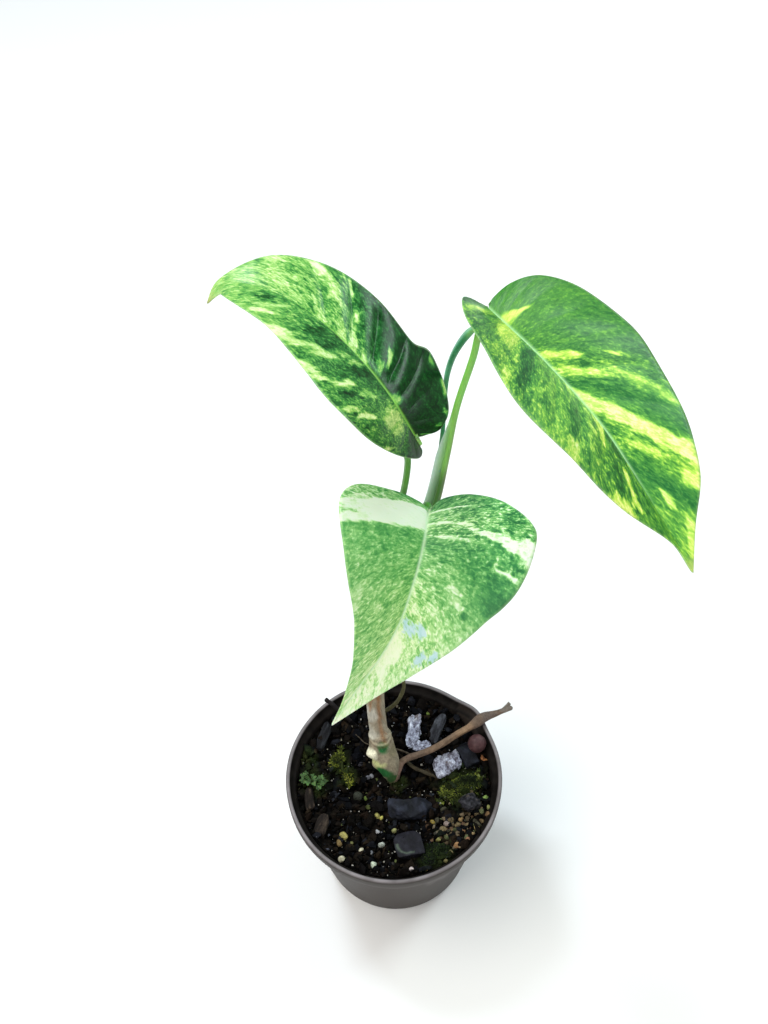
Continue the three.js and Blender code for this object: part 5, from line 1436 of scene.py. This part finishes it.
# Potting mix: damp peat, bark dust and grit, near black and matt, so that only the raised crumbs show.
soilSkin = naturalMaterial("damp potting mix", {
    "roughness": 0.8, "cell": 1.2, "fine": 0.4, "range": (0.5, 1.5), "relief": 0.3, "shine": 0.06})
points, faces, tint = makeSoil()
makePiece("soil_bed", points, faces, soilSkin, ["soil"], tint, even=False)
print("pot and soil done")


# Chunks in the soil: bark, charcoal and a ball of fired clay.
chunkRule = {"planes": 9, "far": (0.85, 1.05), "boxFar": (0.85, 1.0), "fineOver": 4, "patch": (0.2, 2.5)}


# A ball cut by random planes and a box's six, as r = 1 / (sum of (direction . plane / distance) ** soft) **
# (1 / soft), where a high soft gives sharp edges, then stretched to its half sizes, roughened by noise along
# the directions, tilted, turned and moved. A kind without soft stays a plain ball.
def chunk(place, kind, seed):
    rule = chunkRule
    half = np.array(place["half"])
    points, faces = ball(6 if max(half) > rule["fineOver"] else 5)
    if "soft" in kind:
        soft = kind["soft"]
        draw = np.random.default_rng(seed)
        ways = unit(np.concatenate([draw.normal(size=(rule["planes"], 3)), np.eye(3), -np.eye(3)]))
        far = np.concatenate([draw.uniform(*rule["far"], rule["planes"]), draw.uniform(*rule["boxFar"], 6)])
        facing = np.clip(points @ ways.T / far, 0, None)
        points = points / (np.sum(facing ** soft, axis=1) ** (1 / soft))[:, None]
        points = points / np.abs(points).max(axis=0)
    shaped = points * half
    relief = layered(shaped * [1, 1 / kind["fibre"], 1], kind["cell"], seed, 4)
    shaped = shaped + unit(points) * (kind["rough"] * max(half) * relief)[:, None]
    return turned(shaped, place.get("turn", 0), place.get("tilt", 0)) + np.array(place["at"]), faces, relief


chunks = {
    "bark_mouldy_left": {"kind": "mould", "at": [9.4, 22.4, 65.8], "half": [2.9, 8, 2.5], "turn": -8,
                         "tilt": 4, "toe": {"at": [12.6, 15.8, 65.4], "half": [4.2, 2.4, 2.1]},
                         "bareFrom": (25, 29)},
    "bark_mouldy_right": {"kind": "mould", "at": [22.7, 6.9, 65.7], "half": [6.3, 4.7, 2.4], "turn": 20,
                          "bareSpot": (23.4, 8, 2)},
    "bark_dark": {"kind": "greyBark", "at": [19.6, 24.2, 65.9], "half": [2.3, 7, 2.2], "turn": -24,
                  "tilt": 6},
    "bark_grey_left": {"kind": "darkBark", "at": [-29.6, 22.4, 65.6], "half": [2.1, 6.6, 2], "turn": -24,
                       "tilt": 3},
    "bark_brown_left": {"kind": "brownBark", "at": [-35.6, -6, 65.3], "half": [2, 4.8, 1.9], "turn": 8},
    "bark_brown_front": {"kind": "brownBark", "at": [-30.6, -17.6, 65.3], "half": [2.7, 5, 2.1], "turn": -22},
    "charcoal_blue": {"kind": "charcoal", "at": [31.8, 11.2, 66], "half": [3.2, 5.4, 2.4], "turn": 24},
    "charcoal_lump": {"kind": "charcoal", "at": [6.8, -12, 65.6], "half": [9.6, 4.5, 3], "turn": 3},
    "charcoal_plate": {"kind": "plate", "at": [4.9, -27.2, 65.8], "half": [6, 5.6, 2], "turn": 12, "tilt": -8,
                       "seam": {"ring": (4.4, 0.55), "wave": (0.6, 1.5), "until": 2.5}},
    "charcoal_round": {"kind": "cinder", "at": [31.4, -10.4, 66.2], "half": [4, 4, 3.9], "turn": 30},
    "clay_ball": {"kind": "clay", "at": [35.8, 14, 71], "half": [3.9, 3.9, 3.9]},
}
chunkKinds = {
    "mould": {"shades": ["#413c42", "#706f7e", "#989bad", "#bcc1d2", "#e0e4ef"], "soft": 7, "rough": 0.15,
              "cell": 1.5, "fibre": 1.6, "fine": 0.45, "skin": "mould", "slot": "bark"},
    "greyBark": {"shades": ["#121215", "#2c2d32", "#54565d"], "soft": 9, "rough": 0.09, "cell": 1.0,
                 "fibre": 5, "skin": "bark", "slot": "bark"},
    "darkBark": {"shades": ["#0a0a0c", "#19191c", "#303236"], "soft": 9, "rough": 0.08, "cell": 1.0,
                 "fibre": 5, "skin": "bark", "slot": "bark"},
    "brownBark": {"shades": ["#0e0c0b", "#231d19", "#4b4036"], "soft": 9, "rough": 0.1, "cell": 1.0,
                  "fibre": 4, "skin": "bark", "slot": "bark"},
    "charcoal": {"shades": ["#07080b", "#14161e", "#2c303d"], "soft": 20, "rough": 0.11, "cell": 2.6,
                 "fibre": 1.5, "skin": "charcoal", "slot": "charcoal"},
    "plate": {"shades": ["#0f0e13", "#19181f", "#292932"], "soft": 24, "rough": 0.03, "cell": 1.8,
              "fibre": 1.5, "skin": "charcoal", "slot": "charcoal"},
    "cinder": {"shades": ["#0b0b0e", "#1d1d22", "#3d3c42", "#5a4d3e"], "soft": 7, "rough": 0.13, "cell": 0.9,
               "fibre": 1, "skin": "charcoal", "slot": "charcoal"},
    "clay": {"shades": ["#33201f", "#452b2d", "#553b3b"], "rough": 0.02, "cell": 1.2,
             "fibre": 1, "skin": "clay", "slot": "clay"},
}
chunkSkins = {
    # bark with mould on it: soft brown bark under a dry white felt of threads
    "mould": naturalMaterial("mouldy bark", {
        "roughness": 0.9, "cell": 0.8, "fine": 0.28, "range": (0.72, 1.25), "relief": 0.3}),
    # pine bark: fibrous, split along its length, matt
    "bark": naturalMaterial("pine bark", {
        "roughness": 0.85, "cell": 0.9, "fine": 0.35, "range": (0.65, 1.3), "relief": 0.25}),
    # horticultural charcoal: black, cracked into flat faces, with a faint blue sheen
    "charcoal": naturalMaterial("charcoal", {
        "roughness": 0.62, "cell": 1.2, "fine": 0.3, "range": (0.75, 1.25), "relief": 0.15}),
    # a fired clay ball: dull red-brown with a faint bloom
    "clay": naturalMaterial("fired clay", {
        "roughness": 0.6, "shine": 0.35, "cell": 2.2, "fine": 0.4, "range": (0.85, 1.15), "relief": 0.05}),
}
chunkMarks = {"bare": ("#5b4a3d", 0.75), "seam": ("#6b7a68", 0.4)}  # colour, strength


# The colour follows the chunk's own relief, the finer grain and a soft patchiness through the kind's shades.
# Over it lie bare brown bark where the mould's felt is thin, and a pale green seam on the plate's lower left.
def makeChunk(name, place, order):
    kind = chunkKinds[place["kind"]]
    points, faces, relief = chunk(place, kind, order + 3)
    if "toe" in place:
        points, faces, relief = joined((points, faces, relief), chunk(place["toe"], kind, order + 3))
    grain = layered(points, kind["fine"], order) if "fine" in kind else 0
    patch, cell = chunkRule["patch"]
    shades = np.array([linear(shade) for shade in kind["shades"]])
    level = (relief * 1.1 + grain + 1) / 2 + patch * noise(points, cell, order)
    tint = between(shades, np.clip(level, 0, 1) * (len(shades) - 1))
    x, y, _ = points.T
    if place["kind"] == "mould":
        spotX, spotY, reach = place.get("bareSpot", (0, 0, 1))
        inSpot = bump(np.hypot(x - spotX, y - spotY), 0, reach)
        bare = smooth(y, *place["bareFrom"]) if "bareFrom" in place else inSpot
        shade, strength = chunkMarks["bare"]
        tint = laid(tint, shade, strength * bare * smooth(layered(points, 1.5, 9), -0.5, 0.2))
    if "seam" in place:
        seam = place["seam"]
        shade, strength = chunkMarks["seam"]
        x, y = x - place["at"][0], y - place["at"][1]
        wave, cell = seam["wave"]
        ring = bump(np.hypot(x, y) + wave * noise(points, cell, 4), *seam["ring"])
        tint = laid(tint, shade, strength * ring * (x < seam["until"]) * (y < 0))
    makePiece(f"{name}_piece", points, faces, chunkSkins[kind["skin"]], [name], tint)


for order, (name, place) in enumerate(chunks.items()):
    makeChunk(name, place, order)
print("bark, charcoal and clay done")


# Moss: a low cushion with hundreds of short three-sided points standing on it.
mosses = {
    "moss_right": {"at": [28.2, -2.4, 64.4], "half": [10, 4, 1.7], "turn": 20, "tufts": 2600,
                   "shades": ["#131b0f", "#2b371a", "#525f29", "#8d963f"]},
    "moss_front": {"at": [15.6, -31.4, 64.4], "half": [6, 4.6, 1.6], "turn": 25, "tufts": 1000,
                   "shades": ["#0b110a", "#17230f", "#28391a", "#46552a"]},
    "moss_left": {"at": [-23.6, 11.6, 64.4], "half": [2.7, 4.2, 1.5], "turn": -20, "tufts": 420,
                  "shades": ["#1c240e", "#454f1c", "#7c8532", "#bcbc56"]},
    "moss_left_low": {"at": [-19.2, 3.4, 64.4], "half": [1.8, 4, 1.5], "turn": 22, "tufts": 340,
                      "shades": ["#262e12", "#56611f", "#8c9436", "#bcbd58"]},
}
mossRule = {
    "uneven": (0.2, 2.4), "fringe": 2.1, "lowest": 0.04, "sink": 0.97,
    "edge": 0.98, "edgeCell": 2.2, "edgeKeeps": (0.1, 0.9),  # a loose fringe on the soil
    "spread": [0.6, 0.6, 1], "lean": 0.4, "height": (0.5, 1.6), "width": (0.18, 0.4),
    "corners": (0, 2.1, 4.2), "patch": 3.0, "vary": (-0.7, 0.9), "footLight": 0.5, "tipLight": 1.25,
}
# Moss: tiny matt leaves, dark green in the depth and yellow-green at the tips.
mossSkin = naturalMaterial("moss", {
    "roughness": 0.9, "cell": 1.5, "fine": 0.4, "range": (0.75, 1.25), "relief": 0.15})


# The cushion is a ball stretched to its half sizes and dented by noise. A point of moss stands where a random
# direction out of a disc meets it: three corners round its foot, and a tip a height away along its lean.
def makeMoss(name, look, seed):
    rule = mossRule
    draw = np.random.default_rng(seed)
    half = np.array(look["half"])
    points, faces = ball(5)
    dent, cell = rule["uneven"]
    mound = points * half * (1 + dent * layered(points * half, cell, seed))[:, None]
    shades = np.array([linear(shade) for shade in look["shades"]])
    count = look["tufts"]
    way, out = draw.uniform(0, 2 * np.pi, count), np.sqrt(draw.uniform(0, rule["fringe"], count))
    rise = np.sqrt(np.maximum(1 - out ** 2, rule["lowest"]))
    normal = np.stack([out * np.cos(way), out * np.sin(way), rise], -1)
    foot = normal * half * [1, 1, rule["sink"]]
    least, more = rule["edgeKeeps"]
    kept = (out < rule["edge"]) | (noise(foot, rule["edgeCell"], seed + 4) > least + more * (out - 1))
    foot, normal = foot[kept], unit(normal[kept])
    count = len(foot)
    lean = unit(normal * rule["spread"] + draw.normal(0, rule["lean"], (count, 3)))
    height, width = draw.uniform(*rule["height"], count), draw.uniform(*rule["width"], count)
    aside = unit(np.cross(lean, draw.normal(size=(count, 3))))
    third = np.cross(lean, aside)
    corners = [foot + width[:, None] * (np.cos(a) * aside + np.sin(a) * third) for a in rule["corners"]]
    spikes = np.stack([*corners, foot + lean * height[:, None]], 1).reshape(-1, 3)
    pattern = np.array([[0, 1, 3], [1, 2, 3], [2, 0, 3], [0, 2, 1]])
    spikeFaces = (pattern[None] + np.arange(count)[:, None, None] * 4).reshape(-1, 3)
    level = (noise(foot, rule["patch"], seed) + 1) / 2 * 3 + draw.uniform(*rule["vary"], count)
    colour = between(shades, np.clip(level, 0, 2.99))
    # Each point is painted at half brightness at its foot and a quarter brighter at its tip: partly the
    # moss's own darker base and paler tips, partly painted shade down in the cushion.
    spikeTint = np.stack([colour * rule["footLight"]] * 3 + [colour * rule["tipLight"]], 1).reshape(-1, 3)
    points, faces, tint = joined((mound, faces, np.tile(shades[0], (len(mound), 1))),
                                 (spikes, spikeFaces, spikeTint))
    makePiece(f"{name}_piece", turned(points, look["turn"]) + np.array(look["at"]), faces, mossSkin,
              [name], tint, even=False)


for order, (name, look) in enumerate(mosses.items()):
    makeMoss(name, look, order + 21)


# Seedling: thin stems from one point, each with a cupped round leaflet, and a few young ones low between
# them.
seedlingLook = {
    "at": (-33.6, 0.6), "level": 64, "hearts": [(-36.2, 1.9), (-31.2, -0.4)], "leaves": 12, "reach": 2.9,
    "height": 4.4, "lowest": 1.4, "narrow": 0.8, "foot": [61.5, 64, 66], "footRadius": 0.7, "stem": 0.25,
    "stemFrom": 0.6, "bow": (0.6, 1), "turn": 2.4,
    # each stem's share of the reach, of the height and of the size: least, more, and the step from one to the
    # next
    "out": (0.25, 0.75, 0.618), "up": (0.35, 0.65, 0.38), "sizes": (0.75, 0.5, 0.45),
    "leaflet": 0.85, "thick": 0.24, "lobes": 0.3, "notch": (0.1, 0.5), "cup": 0.16, "crease": (0.14, 0.12),
    "creaseLight": (0.25, 0.1), "hold": 0.8,
    "footColour": "#3b5229", "stemColour": "#3f5a30", "shades": ["#293f1c", "#385229", "#4b6a37"],
}
# Seedling leaf: thin, fresh and slightly waxy.
seedlingSkin = naturalMaterial("seedling leaf", {
    "roughness": 0.5, "cell": 1.0, "fine": 0.4, "range": (0.85, 1.15), "relief": 0.04,
    "extra": {"Subsurface Weight": 0.15, "Subsurface Scale": 0.0008}})


def stepped(rule, i):  # least + more * the part behind the point of i steps
    least, more, step = rule
    return least + more * ((i * step) % 1)


# A leaflet: a flattened ball, its plan 1 + a cosine of three times the angle, so three-lobed, its height
# raised by the square of the distance from the middle, so cupped, with a crease along it.
def leaflet(size, way, end, shade):
    look = seedlingLook
    points, faces = ball(4)
    x, y, _ = points.T
    angle = np.arctan2(y, x)
    notch, notchSpread = look["notch"]
    plan = 1 + look["lobes"] * np.cos(3 * angle) - notch * bump(np.abs(angle), np.pi, notchSpread)
    shaped = points * [size, size, look["thick"]] * np.stack([plan, plan, np.ones_like(plan)], -1)
    crease, creaseSpread = look["crease"]
    shaped[:, 2] += look["cup"] * (x ** 2 + y ** 2) * size - crease * bump(y, 0, creaseSpread)
    shaped = turned(shaped + [size * look["hold"], 0, 0], math.degrees(way)) + end
    light, lightSpread = look["creaseLight"]
    return shaped, faces, plain(len(points), shade) * (1 + light * bump(y, 0, lightSpread))[:, None]


# The stems turn by the same angle from one to the next round two hearts, each bowed from the one foot.
def makeSeedling():
    look = seedlingLook
    x, y = look["at"]
    level = look["level"]
    points, faces, *_ = tube([[x, y, z] for z in look["foot"]], 20, 12, lambda along, angle, z: (
        np.full_like(along, look["footRadius"])))
    shells = [(points, faces, painted(points, look["footColour"]))]
    bow, raised = look["bow"]
    for i in range(look["leaves"] * len(look["hearts"])):
        heartX, heartY = look["hearts"][i % len(look["hearts"])]
        way = i * look["turn"]
        out = look["reach"] * stepped(look["out"], i)
        height = level + look["lowest"] + look["height"] * stepped(look["up"], i)
        end = np.array([heartX + out * look["narrow"] * math.cos(way), heartY + out * math.sin(way), height])
        middle = [mix(x, end[0], bow), mix(y, end[1], bow), (height + level) / 2 + raised]
        path = [[x, y, level + look["stemFrom"]], middle, end]
        points, faces, *_ = tube(path, 20, 8, lambda along, angle, z: np.full_like(along, look["stem"]))
        shells.append((points, faces, painted(points, look["stemColour"])))
        size = look["leaflet"] * stepped(look["sizes"], i)
        shells.append(leaflet(size, way, end, look["shades"][i % len(look["shades"])]))
    return joined(*shells)


points, faces, tint = makeSeedling()
makePiece("seedling_piece", points, faces, seedlingSkin, ["seedling"], tint)
print("moss and seedling done")


# Floor and light: a pale floor, a wide key from the upper left, a cool window behind on the right, which the
# wax of the leaves shines in, a small cool light behind on the left, and a weak fill from the front. In
# metres.
studioLook = {
    "floor": {"half": 3, "roughness": 0.8, "ior": 1.45, "colour": "#f4f4f3"},
    "lights": {
        "key": {"at": (-0.5, -0.15, 1.15), "size": 0.9, "power": 9.5, "colour": "#fffaf2"},
        "window": {"at": (0.74, 0.58, 0.8), "size": 0.34, "power": 6, "colour": "#e8f6f8"},
        "back": {"at": (-0.34, 0.44, 0.98), "size": 0.2, "power": 5, "colour": "#e6f4ff"},
        "fill": {"at": (0.15, -1.0, 0.35), "size": 0.8, "power": 3, "colour": "#ffffff"},
    },
    "aim": (0, 0.02, 0.15), "sky": "#f4f7fa", "skyStrength": 0.36,
}
floorLook = studioLook["floor"]
edge = floorLook["half"]
floorMesh = bpy.data.meshes.new("floor")
floorCorners = [(-edge, -edge, 0), (edge, -edge, 0), (edge, edge, 0), (-edge, edge, 0)]
floorMesh.from_pydata(floorCorners, [], [(0, 1, 2, 3)])
floor = bpy.data.objects.new("floor", floorMesh)
bpy.context.scene.collection.objects.link(floor)
floorSkin, _, floorShader = newMaterial("pale floor", floorLook["roughness"], floorLook["ior"])
floorShader.inputs["Base Color"].default_value = rgba(floorLook["colour"])
floorMesh.materials.append(floorSkin)

for name, look in studioLook["lights"].items():
    lamp = bpy.data.lights.new(name, "AREA")
    lamp.shape, lamp.size, lamp.energy = "SQUARE", look["size"], look["power"]
    lamp.color = linear(look["colour"])
    lampObject = bpy.data.objects.new(name, lamp)
    lampObject.location = look["at"]
    aim = Vector(studioLook["aim"]) - lampObject.location
    lampObject.rotation_mode = "QUATERNION"
    lampObject.rotation_quaternion = aim.to_track_quat("-Z", "Y")
    bpy.context.scene.collection.objects.link(lampObject)
world = bpy.data.worlds.new("studio")
world.use_nodes = True
sky = world.node_tree.nodes["Background"]
sky.inputs["Color"].default_value = rgba(studioLook["sky"])
sky.inputs["Strength"].default_value = studioLook["skyStrength"]
bpy.context.scene.world = world
bpy.context.scene.view_settings.view_transform = "Standard"
print("floor and lights set")
